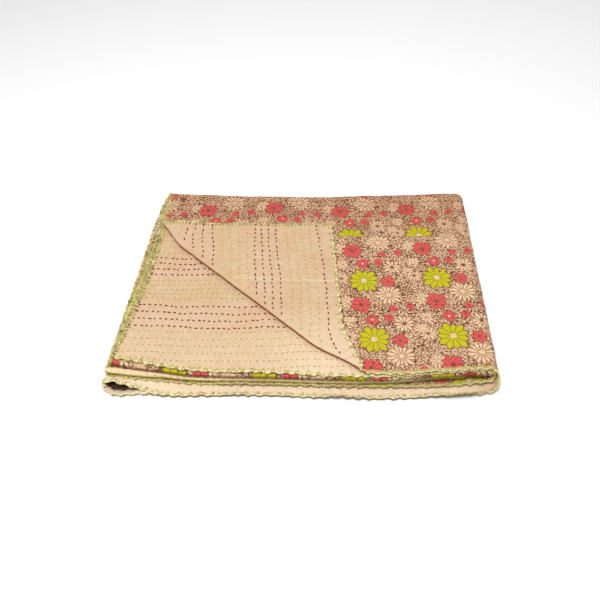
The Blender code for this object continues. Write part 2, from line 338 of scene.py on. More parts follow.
class Rows:
    """Where the points with strip coordinate q lie between the lines of the strip."""

    def __init__(self, q):
        span = np.clip(np.floor(q), 0, 6).astype(int)
        in_fold = span % 2 == 1
        quarter = span // 2
        t = q - span
        angle = math.pi * t
        after = np.minimum(quarter + 1, 3)
        middle = (QUARTER_DISTANCES[quarter] + QUARTER_DISTANCES[after]) / 2
        half = (QUARTER_DISTANCES[quarter] - QUARTER_DISTANCES[after]) / 2
        at_back = np.isin(quarter + 1, BACK_FOLDS)
        side = np.where(at_back, 1.0, -1.0)
        self.span = span
        self.a = quarter + in_fold
        self.b = quarter + 1
        self.t = np.where(in_fold, 0.0, t)
        rounded = middle + half * np.cos(angle)
        self.distance = np.where(in_fold, rounded, QUARTER_DISTANCES[quarter])
        self.reach = np.where(in_fold, side * np.abs(half) * np.sin(angle), 0.0)
        # The y at which these rows enter the right-hand turn above, and leave it below.
        at_turn = np.full_like(q, TURN_X)
        self.turn_ys = (self.y(UPPER_LINES, at_turn), self.y(LOWER_LINES, at_turn))

    def y(self, table, x):
        """The y of these points at x."""
        ys = all_lines(table, x)
        n = np.arange(len(self.a))
        return along(ys[self.a, n], ys[self.b, n], self.t) + self.reach

    def left(self, lower):
        """The x at which these rows end on the left, above or below."""
        t = self.t
        if lower:
            t = np.where(self.span == 0, np.minimum(t / TAIL_LENGTH, 1.0), t)
        x = along(LEFT_ENDS[self.a, lower], LEFT_ENDS[self.b, lower], t)
        if not lower:
            x = x + np.where(self.span == 6, LEFT_HOLLOW * 4.0 * t * (1.0 - t), 0.0)
        return x


def left_bulge(y):
    """How far the left edge of the highest layer bulges at y."""
    t = np.clip((y - LEFT_BULGE_START) / (LEFT_BULGE_END - LEFT_BULGE_START), 0.0, 1.0)
    behind = np.clip((y - LEFT_BULGE_END) / (BACK_BULGE_END - LEFT_BULGE_END), 0.0, 1.0)
    return LEFT_BULGE * t * t * (1.0 - t) / BULGE_PEAK + BACK_BULGE * 4.0 * behind * (1.0 - behind)


def turn_x(y):
    """The x of the axis of the right-hand turn, which leans with y."""
    return TURN_X + TURN_LEAN * y


def lift(x, y):
    """How far the turned-under corner raises what lies on it."""
    turn = TURNS["lower"]
    run, off = turn.to_line(x, y)
    run = run / turn.length
    width = TAIL_WIDTH_FRONT * np.clip(1.0 - run, 0.0, 1.0)
    height = along(LIFT_FRONT, LIFT_BACK, np.clip(run, 0.0, 1.0))
    height = height * (1.0 - smooth((run - 1.0) * turn.length / LIFT_FADE_BACK))
    tip = np.clip(off / np.maximum(width, TAIL_WIDTH_LEAST), 0.0, 1.0)
    fade = 1.0 - smooth((off - width) / LIFT_FADE_RIGHT)
    return height * (1.0 - (1.0 - LIFT_LEFT_AT_TIP) * tip) * fade


def waves(x, y):
    """Soft unevenness between -1 and 1."""
    total = 0.0
    for share, x_rate, y_rate, phase, x_rate_2, y_rate_2, phase_2 in WAVES:
        first = np.sin(x_rate * x + y_rate * y + phase)
        total = total + share * first * np.sin(x_rate_2 * x + y_rate_2 * y + phase_2)
    return total


def settled(x, y, height):
    """The height of a point of the stack once lift, waves and curl are added."""
    lifted = lift(x, y) * (1.0 - LIFT_TAKEN_UP * height / STACK_HEIGHT)
    above = np.clip((height - HALF_LAYER) / STACK_HEIGHT, 0.0, 1.0)
    near = np.exp(-(((y - line_y(LOWER_LINES, 0, x)) / EDGE_CURL_DEPTH) ** 2))
    curl = sum(rise * np.exp(-(((x - at) / reach) ** 2)) for at, reach, rise in EDGE_CURLS)
    curl = curl * near * (height < LAYER_PITCH)
    return height + lifted + WAVE_HEIGHT * above * waves(x, y) + curl


class Turn:
    """A corner folded over along a line, given in the plan of its own layer."""

    def __init__(self, spec, rises):
        self.front = np.array(spec["front"])
        span = np.array(spec["back"]) - self.front
        self.length = float(np.linalg.norm(span))
        self.ahead = span / self.length
        self.aside = np.array((self.ahead[1], -self.ahead[0]))
        self.radius = spec["radius"]
        self.bow_depth = spec["bow"]
        self.rises = rises

    def bow(self, run):
        """How far the fold line bows out at a distance along it."""
        front = smooth(run / BOW_FRONT_END)
        return self.bow_depth * front * smooth((self.length - run) / BOW_BACK_END)

    def to_line(self, x, y):
        """The distance along the line and off its bowed course."""
        dx = x - self.front[0]
        dy = y - self.front[1]
        run = dx * self.ahead[0] + dy * self.ahead[1]
        return run, dx * self.aside[0] + dy * self.aside[1] + self.bow(run)

    def place(self, x, y):
        """The points in space of flat cloth points once the corner is folded."""
        run, off = self.to_line(x, y)
        angle = np.clip(-off / self.radius, 0.0, math.pi)
        across = np.where(off >= 0.0, off, -self.radius * np.sin(angle))
        turned = math.pi * self.radius
        across = np.where(off < -turned, -off - turned, across) - self.bow(run)
        x = self.front[0] + self.ahead[0] * run + self.aside[0] * across
        y = self.front[1] + self.ahead[1] * run + self.aside[1] * across
        share = (1.0 - np.cos(angle)) / 2
        if self.rises:
            height = settled(x, y, np.full_like(x, STACK_HEIGHT - HALF_LAYER))
            return x, y, height + 2 * self.radius * share
        height = settled(x, y, np.full_like(x, HALF_LAYER))
        return x, y, along(height, HALF_LAYER, share)


TURNS = {"upper": Turn(UPPER_TURN, True), "lower": Turn(LOWER_TURN, False)}


def stack_point(q, c):
    """The rows of points of the strip, and their x, y and height before a corner is turned."""
    rows = Rows(q)
    right_upper, right_lower = rows.turn_ys
    top = c <= 1.0
    below = c >= 2.0

    start = rows.left(0)
    x_top = along(start, turn_x(right_upper), np.clip(c, 0.0, 1.0))
    y_top = rows.y(UPPER_LINES, x_top)
    bulge = np.where(rows.span == 0, left_bulge(y_top) * (1.0 - np.clip(c, 0.0, 1.0)), 0.0)
    x_top = x_top - bulge

    t = np.clip(c - 1.0, 0.0, 1.0)
    blend = (1.0 - np.cos(math.pi * t)) / 2
    y_turn = along(right_upper, right_lower, blend)
    x_turn = along(turn_x(right_upper), turn_x(right_lower), blend)
    x_turn = x_turn + rows.distance * np.sin(math.pi * t)
    z_turn = AXIS_HEIGHT + rows.distance * np.cos(math.pi * t)

    t_below = np.clip(c - 2.0, 0.0, 1.0)
    x_below = along(turn_x(right_lower), rows.left(1), t_below)
    y_below = rows.y(LOWER_LINES, x_below)

    x = np.where(top, x_top, np.where(below, x_below, x_turn))
    y = np.where(top, y_top, np.where(below, y_below, y_turn))
    height = np.where(top, AXIS_HEIGHT + rows.distance, z_turn)
    height = np.where(below, AXIS_HEIGHT - rows.distance, height)
    return rows, x, y, height


def middle(q, c):
    """Points of the middle surface of the folded quilt."""
    _, x, y, height = stack_point(q, c)
    z = settled(x, y, height)
    outer = q <= 1.0
    for name, here in (("upper", outer & (c <= 1.0)), ("lower", outer & (c >= 2.0))):
        tx, ty, tz = TURNS[name].place(x, y)
        x = np.where(here, tx, x)
        y = np.where(here, ty, y)
        z = np.where(here, tz, z)
    return np.stack((x, y, z), axis=-1)


def cloth_place(q, c):
    """Cloth coordinates u and v of points, and how far each is from the four edges."""
    rows, x, _, _ = stack_point(q, c)
    upper = all_lines(UPPER_LINES, np.where(c <= 1.0, x, TURN_X))
    lines = along(upper, all_lines(LOWER_LINES, x), smooth(c - 1.0))
    gaps = np.abs(np.diff(QUARTER_DISTANCES)) * math.pi / 2
    outer_vs = lines[:2] - CLOTH_ORIGIN_Y
    inner_vs = INNER_EDGE_V + INNER_EDGE_Y - lines[3:]
    starts = [outer_vs[0], outer_vs[1] + gaps[0], FRONT_FOLD_V + gaps[1], inner_vs[0]]
    ends = [outer_vs[1], FRONT_FOLD_V, inner_vs[0] - gaps[2], inner_vs[1]]
    v = np.zeros_like(q)
    t = q - rows.span
    for k in range(4):
        v = np.where(rows.span == 2 * k, along(starts[k], ends[k], t), v)
        if k < 3:
            v = np.where(rows.span == 2 * k + 1, along(ends[k], starts[k + 1], t), v)
    right_upper, right_lower = (turn_x(y) for y in rows.turn_ys)
    # The outer back fold keeps the outer quarter's u, so the print isn't sheared there.
    outer, axis = QUARTER_DISTANCES[:2]
    eased = np.where(rows.span == 2, along(outer, axis, smooth(t)), rows.distance)
    around = math.pi * np.where(rows.span == 1, outer, eased)
    u_top = x - TURN_X
    u_turn = right_upper - TURN_X + np.clip(c - 1.0, 0.0, 1.0) * around
    u_below = right_upper - TURN_X + around + right_lower - x
    u = np.where(c <= 1.0, u_top, np.where(c >= 2.0, u_below, u_turn))
    return u, v, {
        "outer": v - starts[0],
        "inner": ends[3] - v,
        "upper_left": np.where(c <= 1.0, c * (right_upper - rows.left(0)), 1.0),
        "lower_left": np.where(c >= 2.0, (3.0 - c) * (right_lower - rows.left(1)), 1.0),
    }


# How far to either side the points lie that give the directions of the cloth at a point.
STEP_Q = 0.002
STEP_C = 0.002


def unit(vectors):
    """Vectors scaled to length 1."""
    return vectors / np.maximum(np.linalg.norm(vectors, axis=-1, keepdims=True), 1e-12)


def row_phase(v):
    """A number that grows by 1 from one row of stitches to the next."""
    return np.interp(v, ROW_PLACES, np.arange(len(ROW_PLACES)))


def noises(u, v, waves):
    """The sum of several noises over the cloth."""
    return sum(amount * noise(u / long, v / wide, seed) for amount, long, wide, seed in waves)


def row_drift(u, v):
    """How far the rows of stitches wander from a straight line."""
    return noises(u, v, ROW_DRIFTS)


def layer_height(u, v, nearest):
    """Height of either cloth over the middle surface."""
    phase = row_phase(v - row_drift(u, v))
    puff = 0.5 - 0.5 * np.cos(2.0 * math.pi * phase)
    dimple = 0.5 - 0.5 * np.cos(2.0 * math.pi * u / STITCH_PITCH)
    uneven = 0.85 + 0.3 * noise(u / 0.018, v / 0.012, 5)
    height = ROW_HEIGHT + PUFF_HEIGHT * (puff * uneven + PUFF_DIMPLE * (1.0 - puff) * dimple)
    hem = HEM_HEIGHT * (1.0 - smooth((nearest - HEM_WIDTH) / HEM_SLOPE))
    in_trough = (nearest - HEM_WIDTH - HEM_TROUGH_OFF) / HEM_TROUGH_REACH
    trough = HEM_TROUGH * np.exp(-(in_trough**2))
    height = (height + hem) * (1.0 - trough)
    t = np.clip(nearest / RIM_WIDTH, 0.0, 1.0)
    return along(RIM_HEIGHT, height, np.sqrt(1.0 - (1.0 - t) ** 2))


def nearest_edge(edges):
    """Distance to the nearest of the four edges."""
    return np.min(np.stack([np.maximum(d, 0.0) for d in edges.values()]), axis=0)


class Laid:
    """Points of the middle surface as it lies, with its directions, cloth place and thickness."""

    def __init__(self, q, c):
        q_low = np.maximum(q - STEP_Q, 0.0)
        q_high = np.minimum(q + STEP_Q, 7.0)
        c_low = np.maximum(c - STEP_C, 0.0)
        c_high = np.minimum(c + STEP_C, 3.0)
        self.across = unit(middle(q_high, c) - middle(q_low, c))
        self.ahead = unit(middle(q, c_high) - middle(q, c_low))
        self.normal = unit(np.cross(self.ahead, self.across))
        self.u, self.v, self.edges = cloth_place(q, c)
        self.nearest = nearest_edge(self.edges)
        self.height = layer_height(self.u, self.v, self.nearest)
        self.point = middle(q, c)
        self.scallop()
        self.lowest = (self.point[:, 2] < LOWEST_TO) * (self.u > 0.0)
        self.settle_front()
        self.curl_rim()
        self.wrinkle()

    def scallop(self):
        """Draws the rims in where the edge thread is tight."""
        u, v = self.u, self.v
        scallops = {}
        for name, place, depth in (
            ("outer", u, SCALLOP_DEPTH),
            ("inner", u, SCALLOP_DEPTH),
            ("upper_left", v, SCALLOP_DEPTH_LEFT),
            ("lower_left", v, SCALLOP_DEPTH_LEFT),
        ):
            shift = 1.5 * noise(place / 0.05, 0.0, 7)
            beat = np.sin(2.0 * math.pi * place / SCALLOP_LENGTH + shift)
            uneven = 0.7 + 0.5 * noise(place / 0.023, 3.0, 8)
            reach = np.exp(-self.edges[name] / SCALLOP_REACH)
            scallops[name] = (depth * beat * uneven * reach)[:, None]
        across, ahead = self.across, self.ahead
        self.point = self.point - across * scallops["outer"] + across * scallops["inner"]
        self.point = self.point - ahead * scallops["upper_left"] + ahead * scallops["lower_left"]

    def settle_front(self):
        """Sinks the free edge under the front folds and moves parts of these folds outwards."""
        below = self.u > 0.05
        sunk = np.exp(-np.maximum(self.edges["inner"], 0.0) / INNER_RIM_DROP_REACH)
        self.point[:, 2] -= INNER_RIM_DROP * below * sunk
        front = np.exp(-(((self.v - LOWER_FRONT_V) / LOWER_FRONT_REACH) ** 2))
        self.point[:, 1] -= LOWER_FRONT_OUT * below * front
        bulge_x, bulge_reach, bulge_out = FRONT_BULGE
        bulge = bulge_out * np.exp(-(((self.point[:, 0] - bulge_x) / bulge_reach) ** 2))
        self.point[:, 1] -= bulge * (self.u < -0.012) * front

    def curl_rim(self):
        """Rolls stretches of the lowest rim up, and lifts it off the floor."""
        x = self.point[:, 0]
        strength = sum(k * np.exp(-(((x - at) / reach) ** 2)) for at, reach, k in RIM_CURLS)
        bend = (strength * self.lowest + 1e-6) / RIM_CURL_RADIUS
        rolled = np.maximum(RIM_CURL_WIDTH - np.maximum(self.edges["outer"], 0.0), 0.0)
        self.point = self.point + self.across * (rolled - np.sin(bend * rolled) / bend)[:, None]
        self.point[:, 2] += (1.0 - np.cos(bend * rolled)) / bend
        low = 1.0 - smooth((self.point[:, 2] - RIM_RISE_FULL) / (RIM_RISE_FROM - RIM_RISE_FULL))
        low = np.where(self.point[:, 0] < RIM_RISE_LEFT, low, 1.0)
        rise = self.lowest * low * np.exp(-self.nearest / RIM_RISE_REACH)
        self.point[:, 2] += RIM_RISE * rise
        self.point[:, 1] -= RIM_OUT * rise

    def wrinkle(self):
        """Adds the crease, the waves along the rims and small unevenness everywhere."""
        u, v = self.u, self.v
        (start_u, start_v), (end_u, end_v) = CREASE
        crease_u = along(start_u, end_u, (v - start_v) / (end_v - start_v))
        on_crease = smooth((start_v - v) / CREASE_FADE)
        crease = CREASE_DEPTH * np.exp(-np.abs(u - crease_u) / CREASE_REACH) * on_crease
        ripple = RIM_WAVE * np.exp(-self.nearest / RIM_WAVE_REACH)
        ripple = ripple * noise((u + v) / RIM_WAVE_LENGTH, (u - v) / RIM_WAVE_LENGTH, 9)
        small = noises(u, v, SMALL_WAVES)
        self.point = self.point + self.normal * (crease + ripple + small)[:, None]


STITCH_ROWS = [
    (first + k * step, thread) for first, step, count, thread in ROW_GROUPS for k in range(count)
]
ROW_PLACES = np.array(sorted(v for v, _ in STITCH_ROWS))


# ---------------------------------------------------------------------------- cloths


# Spans of mesh lines in turn: a quarter's length and step and which of its ends are rims, then
# the number of lines around a fold.
STRIP_ROWS = (
    (0.467, 0.0036, True, False),
    11,
    (0.465, 0.0250, False, False),
    9,
    (0.418, 0.0200, False, False),
    7,
    (0.408, 0.0052, False, True),
)
STRIP_COLUMNS = (
    (0.630, 0.0036, True, False),
    15,
    (0.660, 0.0050, False, True),
)
RIM_LINES = np.array((0.0, 0.0003, 0.0009, 0.0018, 0.0030, 0.0050, 0.0075, 0.0100))


def graded(length, step, rim_start, rim_end):
    """Fractions along a span of cloth with finer steps at the ends that are rims."""
    start = RIM_LINES if rim_start else np.array((0.0,))
    end = length - RIM_LINES[::-1] if rim_end else np.array((length,))
    count = max(2, int(round((end[0] - start[-1]) / step)))
    inner = np.linspace(start[-1], end[0], count + 1)[1:-1]
    return np.concatenate((start, inner, end)) / length


def mesh_lines(spans):
    """The strip coordinate of each mesh line of several spans."""
    places = []
    for k, span in enumerate(spans):
        places.append(k + (np.linspace(0.0, 1.0, span) if k % 2 else graded(*span)))
    return np.unique(np.concatenate(places).round(7))


def cut_corner(grid, q_layer, c_layer, name):
    """Adds mesh lines along the round of a turned corner."""
    turn = TURNS[name]
    on_top = name == "upper"
    verts = [v for v in grid.verts if v[q_layer] <= 1.0 + 1e-6
             and (v[c_layer] <= 1.0 + 1e-6 if on_top else v[c_layer] >= 2.0 - 1e-6)]
    q = np.array([v[q_layer] for v in verts], dtype=float)
    c = np.array([v[c_layer] for v in verts], dtype=float)
    _, x, y, _ = stack_point(q, c)
    run, off = turn.to_line(x, y)
    kept = set(verts)
    for vert, along_line, off_line in zip(verts, run, off):
        vert.co = (along_line, off_line, 0.0)
    length = math.pi * turn.radius
    faces = [
        face for face in grid.faces
        if all(v in kept for v in face.verts)
        and min(v.co.y for v in face.verts) < 0.001
        and max(v.co.y for v in face.verts) > -length - 0.001
    ]
    for cut in range(CORNER_CUTS + 1):
        edges = {edge for face in faces for edge in face.edges}
        corners = {vert for face in faces for vert in face.verts}
        parts = bmesh.ops.bisect_plane(
            grid,
            geom=list(corners) + list(edges) + faces,
            dist=1e-6,
            plane_co=(0.0, -cut * length / CORNER_CUTS, 0.0),
            plane_no=(0.0, 1.0, 0.0),
        )
        faces = [part for part in parts["geom"] if isinstance(part, bmesh.types.BMFace)]


def strip_mesh():
    """Strip coordinates of every vertex of a cloth and the faces between them."""
    rows = mesh_lines(STRIP_ROWS)
    columns = mesh_lines(STRIP_COLUMNS)
    grid = bmesh.new()
    q_layer = grid.verts.layers.float.new("q")
    c_layer = grid.verts.layers.float.new("c")
    verts = []
    for c in columns:
        line = []
        for q in rows:
            vert = grid.verts.new((q, c, 0.0))
            vert[q_layer] = q
            vert[c_layer] = c
            line.append(vert)
        verts.append(line)
    for i in range(len(columns) - 1):
        for j in range(len(rows) - 1):
            grid.faces.new((verts[i][j], verts[i + 1][j], verts[i + 1][j + 1], verts[i][j + 1]))
    cut_corner(grid, q_layer, c_layer, "upper")
    cut_corner(grid, q_layer, c_layer, "lower")
    grid.verts.index_update()
    q = np.array([v[q_layer] for v in grid.verts], dtype=float)
    c = np.array([v[c_layer] for v in grid.verts], dtype=float)
    faces = [[v.index for v in face.verts] for face in grid.faces]
    grid.free()
    return q, c, faces


def new_object(name, verts, faces, material):
    """A smooth-shaded mesh object in the scene."""
    mesh = bpy.data.meshes.new(name)
    mesh.from_pydata(verts, [], faces)
    mesh.materials.append(material)
    mesh.shade_smooth()
    obj = bpy.data.objects.new(name, mesh)
    bpy.context.collection.objects.link(obj)
    return obj


def fold_depth(q, c):
    """1 in the open, falling to 0 under the round of the turned-back corner, where brown shade is
    painted.
    """
    rows, x, y, _ = stack_point(q, c)
    turn = TURNS["upper"]
    _, off = turn.to_line(x, y)
    here = (rows.span == 0) & (c <= 1.0) & (off < 0.004)
    return np.where(here, np.clip(-off / (math.pi * turn.radius), 0.0, 1.0), 1.0)


def brown_share(u, v):
    """1 among the rows of brown stitches, 0 among the green ones."""
    places = []
    shares = []
    for first, step, count, thread in ROW_GROUPS:
        places += [first - 0.3 * step, first + (count - 0.7) * step]
        shares += [float(thread == "brown")] * 2
    return np.interp(v - row_drift(u, v), places, shares)


def under_depth(q, c, edges):
    """0 in the open, growing to 1 inside the turned-under corner, where dark shade is painted."""
    rows, x, y, _ = stack_point(q, c)
    _, off = TURNS["lower"].to_line(x, y)
    here = (rows.span == 0) & (c >= 2.0) & (off < 0.0)
    return np.where(here, smooth((edges["outer"] - TAIL_LIP) / TAIL_SHADE_REACH), 0.0)


def cloth(name, strip, side, material):
    """One cloth, laid on its side of the middle surface. Its UVs are metres of flat cloth."""
    q, c, faces = strip
    laid = Laid(q, c)
    u, v, edges, height = laid.u, laid.v, laid.edges, laid.height
    if side > 0:
        rim = np.maximum(edges["outer"], 0.0)
        hang = np.exp(-rim / RIM_HANG_REACH) * np.clip(rim / RIM_HANG_START, 0.0, 1.0)
        height = height + RIM_HANG * hang * (u > 0.05) * (laid.point[:, 2] < LOWEST_TO)
    verts = laid.point + side * laid.normal * height[:, None]
    verts[:, 2] = np.maximum(verts[:, 2], FLOOR_GAP)
    if side < 0:
        faces = [face[::-1] for face in faces]
    obj = new_object(name, verts.tolist(), faces, material)
    corner = np.empty(len(obj.data.loops), dtype=np.int32)
    obj.data.loops.foreach_get("vertex_index", corner)
    uv = np.stack((u[corner], v[corner]), axis=-1)
    layer = obj.data.uv_layers.new(name="cloth")
    layer.data.foreach_set("uv", uv.astype(np.float32).ravel())
    for label, values in (
        ("from_edge", laid.nearest),
        ("fold_depth", fold_depth(q, c)),
        ("under_depth", under_depth(q, c, edges)),
        ("brown_share", brown_share(u, v)),
    ):
        attribute = obj.data.attributes.new(label, "FLOAT", "POINT")
        attribute.data.foreach_set("value", values.astype(np.float32))
    return obj


# ---------------------------------------------------------------------------- thread


def tubes(paths, guides, radius, sides, taper):
    """Vertices and faces of one tube around each path. guides fix how each ring is turned."""
    count, steps, _ = paths.shape
    tangents = unit(np.gradient(paths, axis=1))
    side = unit(np.cross(tangents, guides))
    up = np.cross(side, tangents)
    t = np.linspace(0.0, 1.0, steps)
    girth = np.ones(steps)
    if taper:
        girth = np.sqrt(np.clip(1.0 - (2.0 * t - 1.0) ** 4, 0.05, 1.0))
    verts = np.empty((count, steps, sides, 3))
    for k in range(sides):
        angle = 2.0 * math.pi * k / sides
        spoke = math.cos(angle) * up + math.sin(angle) * side
        verts[:, :, k] = paths + spoke * (radius * girth)[None, :, None]
    index = np.arange(count * steps * sides).reshape(count, steps, sides)
    after = np.roll(index, -1, axis=2)
    quads = np.stack(
        (index[:, :-1], after[:, :-1], after[:, 1:], index[:, 1:]), axis=-1
    ).reshape(-1, 4)
    caps = [list(ring[::-1]) for ring in index[:, 0].tolist()]
    caps += [list(ring) for ring in index[:, -1].tolist()]
    return verts.reshape(-1, 3), quads.tolist() + caps


def joined(groups):
    """Several lists of vertices and faces as one."""
    verts = []
    faces = []
    for more_verts, more_faces in groups:
        base = sum(len(part) for part in verts)
        verts.append(more_verts)
        faces += [[k + base for k in face] for face in more_faces]
    return np.concatenate(verts).tolist(), faces


def strip_point(q, c, side, above):
    """Points above the cloth on one side of the quilt, and the normals there."""
    laid = Laid(q, c)
    return laid.point + side * laid.normal * (laid.height + above)[:, None], side * laid.normal


def row_table(c_knots):
    """The undrifted v and the u over a grid of q and the c of knots along the strip."""
    q_table = np.linspace(0.0, 7.0, 701)
    q, c = np.meshgrid(q_table, c_knots)
    u, v, _ = cloth_place(q.ravel(), c.ravel())
    return q_table, u.reshape(q.shape), (v - row_drift(u, v)).reshape(q.shape)


def shows(q, c, side):
    """Which points of a side of the quilt can be seen from somewhere outside it."""
    rows, x, y, _ = stack_point(q, c)
    _, off = TURNS["upper"].to_line(x, y)
    span = rows.span
    top = c <= 1.0
    turned = (span == 0) & top & (off < SEEN_TURNED)
    if side > 0:
        seen = (span == 0) & (c < 2.0) & ~turned & (off > 0.0)
        seen |= (span == 0) & (c >= 1.0) & (c < 2.0)
        bare = (span == 4) & top & (x < SEEN_LEFT_X)
        edge = (span == 6) & (c >= 1.0) & (y < line_y(LOWER_LINES, 4, x) + SEEN_INNER_FRONT)
        return seen | bare | edge | (span % 2 == 1)
    under = (span == 6) & top & (off < SEEN_UNDER)
    low = (span == 0) & (c >= 2.0) & (y < line_y(LOWER_LINES, 0, x) + SEEN_OUTER_FRONT)
    return turned | under | low


def running_stitches():
    """Stitches of both threads, where they can be seen."""
    made = {"brown": [], "green": []}
    around = np.linspace(1, 2, 9)[1:-1]
    c_knots = np.concatenate((np.linspace(0, 1, 41), around, np.linspace(2, 3, 41)))
    t = np.linspace(0.0, 1.0, len(STITCH_ARCH))
    half_way = len(STITCH_ARCH) // 2
    rng = np.random.default_rng(5)
    q_table, u_table, v_table = row_table(c_knots)
    for v_row, thread in STITCH_ROWS:
        q_knots = np.array([np.interp(v_row, line, q_table) for line in v_table])
        u_knots = np.array([np.interp(q, q_table, line) for q, line in zip(q_knots, u_table)])
        pitch = INNER_PITCH if v_row > INNER_PITCH_FROM else STITCH_PITCH
        starts = np.arange(u_knots[0] + ROW_START, u_knots[-1] - ROW_END, pitch / 2)
        starts = starts + rng.uniform(-STITCH_SHIFT, STITCH_SHIFT, len(starts))
        side = np.where(np.arange(len(starts)) % 2 == 0, -1.0, 1.0)
        length = STITCH_LENGTH[thread] * rng.uniform(*STITCH_STRETCH, len(starts))
        length = length * pitch / STITCH_PITCH
        astray = rng.uniform(-STITCH_ASTRAY, STITCH_ASTRAY, len(starts))
        slant = rng.uniform(-STITCH_SLANT, STITCH_SLANT, len(starts))
        u = starts[:, None] + length[:, None] * t[None, :]
        c = np.interp(u.ravel(), u_knots, c_knots)
        q = np.interp(c, c_knots, q_knots)
        q = q + (astray[:, None] + slant[:, None] * (t - 0.5)[None, :]).ravel()
        q_middle = q.reshape(u.shape)[:, half_way]
        c_middle = c.reshape(u.shape)[:, half_way]
        for facing in (-1.0, 1.0):
            pick = (side == facing) & shows(q_middle, c_middle, facing)
            if not pick.any():
                continue
            girth = STITCH_RADIUS[thread] * (PRINT_SIDE_GIRTH if facing > 0 else 1.0)
            above = np.tile(np.array(STITCH_ARCH) * girth, pick.sum())
            picked = np.repeat(pick, len(t))
            point, normal = strip_point(q[picked], c[picked], facing, above)
            point[:, 2] = np.maximum(point[:, 2], FLOOR_GAP + girth)
            shape = (pick.sum(), len(t), 3)
            made[thread].append(
                tubes(point.reshape(shape), normal.reshape(shape), girth, 6, True)
            )
    return made


# ---------------------------------------------------------------------------- materials


class Tree:
    """Adds nodes to a new material, taking numbers or other nodes' outputs as inputs."""

    def __init__(self, name, constants):
        self.material = bpy.data.materials.new(name)
        self.material.use_nodes = True
        self.nodes = self.material.node_tree.nodes
        self.links = self.material.node_tree.links
        self.shader = self.nodes["Principled BSDF"].inputs
        for socket, value in constants.items():
            self.shader[socket].default_value = value

    def feed(self, socket, value):
        """Gives a socket a number, a colour or another node's output."""
        if isinstance(value, bpy.types.NodeSocket):
            self.links.new(value, socket)
        else:
            socket.default_value = value

    def add(self, kind, inputs=(), **settings):
        """A new node with its settings and its inputs by name."""
        node = self.nodes.new(kind)
        for name, value in settings.items():
            setattr(node, name, value)
        for name, value in dict(inputs).items():
            self.feed(node.inputs[name], value)
        return node

    def combine(self, kind, operation, values):
        """The outputs of a node that works on its inputs in order."""
        node = self.add(kind, operation=operation)
        for socket, value in zip(node.inputs, values):
            self.feed(socket, value)
        return node.outputs

    def math(self, operation, *values):
        """The output of a calculation with numbers."""
        return self.combine("ShaderNodeMath", operation, values)[0]

    def vector(self, operation, *values):
        """The output of a calculation with vectors."""
        outputs = self.combine("ShaderNodeVectorMath", operation, values)
        return outputs["Value" if operation == "LENGTH" else "Vector"]

    def parts(self, vector):
        """The three numbers of a vector or a colour."""
        return tuple(self.add("ShaderNodeSeparateXYZ", {"Vector": vector}).outputs)

    def times(self, first, *others):
        """The product of several values."""
        for value in others:
            first = self.math("MULTIPLY", first, value)
        return first

    def scaled(self, value, by, plus):
        """A value times another one, plus a third."""
        return self.math("MULTIPLY_ADD", value, by, plus)

    def apart(self, value, other):
        """How far two values are apart."""
        return self.math("ABSOLUTE", self.math("SUBTRACT", value, other))

    def tint(self, colour, other, *shares):
        """A colour mixed with another one by the product of the shares."""
        node = self.add("ShaderNodeMix", data_type="RGBA")
        self.feed(node.inputs["Factor"], self.times(*shares))
        self.feed(node.inputs[6], colour)
        self.feed(node.inputs[7], other)
        return node.outputs[2]

    def step(self, value, low, high):
        """0 for a value before low, growing to 1 at high. High may be the smaller one."""
        inputs = {"Value": value, "From Min": low, "From Max": high}
        return self.add("ShaderNodeMapRange", inputs, clamp=True).outputs["Result"]

    def noise(self, vector, scale, detail=3.0, roughness=0.55):
        """Soft random values around 0.5."""
        inputs = {"Vector": vector, "Scale": scale, "Detail": detail, "Roughness": roughness}
        return self.add("ShaderNodeTexNoise", inputs).outputs["Fac"]

    def bump(self, height, strength, distance):
        """Bumps on the surface, from their height."""
        inputs = {"Height": height, "Strength": strength, "Distance": distance}
        self.feed(self.shader["Normal"], self.add("ShaderNodeBump", inputs).outputs["Normal"])


class ClothTree(Tree):
    """A cloth's material, with the flat cloth's coordinates as a vector and as u and v."""

    def __init__(self, name, roughness):
        super().__init__(name, {**CLOTH_SHADER, "Roughness": roughness})
        self.uv = self.add("ShaderNodeUVMap", uv_map="cloth").outputs["UV"]
        self.u, self.v, _ = self.parts(self.uv)

    def stored(self, name):
        """A value stored with the cloth's vertices."""
        return self.add("ShaderNodeAttribute", attribute_name=name).outputs["Fac"]

    def patch(self, u_ends, v_ends, share):
        """The shares of a tint that grows between two u and two v."""
        return self.step(self.u, *u_ends), self.step(self.v, *v_ends), share

    def strokes(self, low, high):
        """Short ends of thread, close together."""
        return self.step(self.noise(self.uv, STROKE_RATE, 2.0), low, high)

    def finish(self, colour, dip=0.0):
        """The colour, and the bump of the weave, the gathers between the stitches and wrinkles."""
        self.feed(self.shader["Base Color"], colour)
        gathers = self.noise(self.vector("MULTIPLY", self.uv, GATHER_RATES), 1.0, 2.0)
        wrinkles = self.noise(self.uv, WRINKLE_RATE, 4.0, 0.65)
        rate = 2 * math.pi / WEAVE_PITCH
        weave = [self.math("SINE", self.times(value, rate)) for value in (self.u, self.v)]
        height = self.scaled(wrinkles, WRINKLE_HEIGHT, self.times(gathers, GATHER_HEIGHT))
        height = self.scaled(self.times(*weave), WEAVE_HEIGHT, height)
        self.bump(self.math("ADD", height, dip), 1.0, 1.0)
        return self.material


def srgb(red, green, blue):
    """A colour given as 8-bit values, as a linear one."""
    values = [value / 255.0 for value in (red, green, blue)]
    linear = [((v + 0.055) / 1.055) ** 2.4 if v > 0.04045 else v / 12.92 for v in values]
    return (*linear, 1.0)


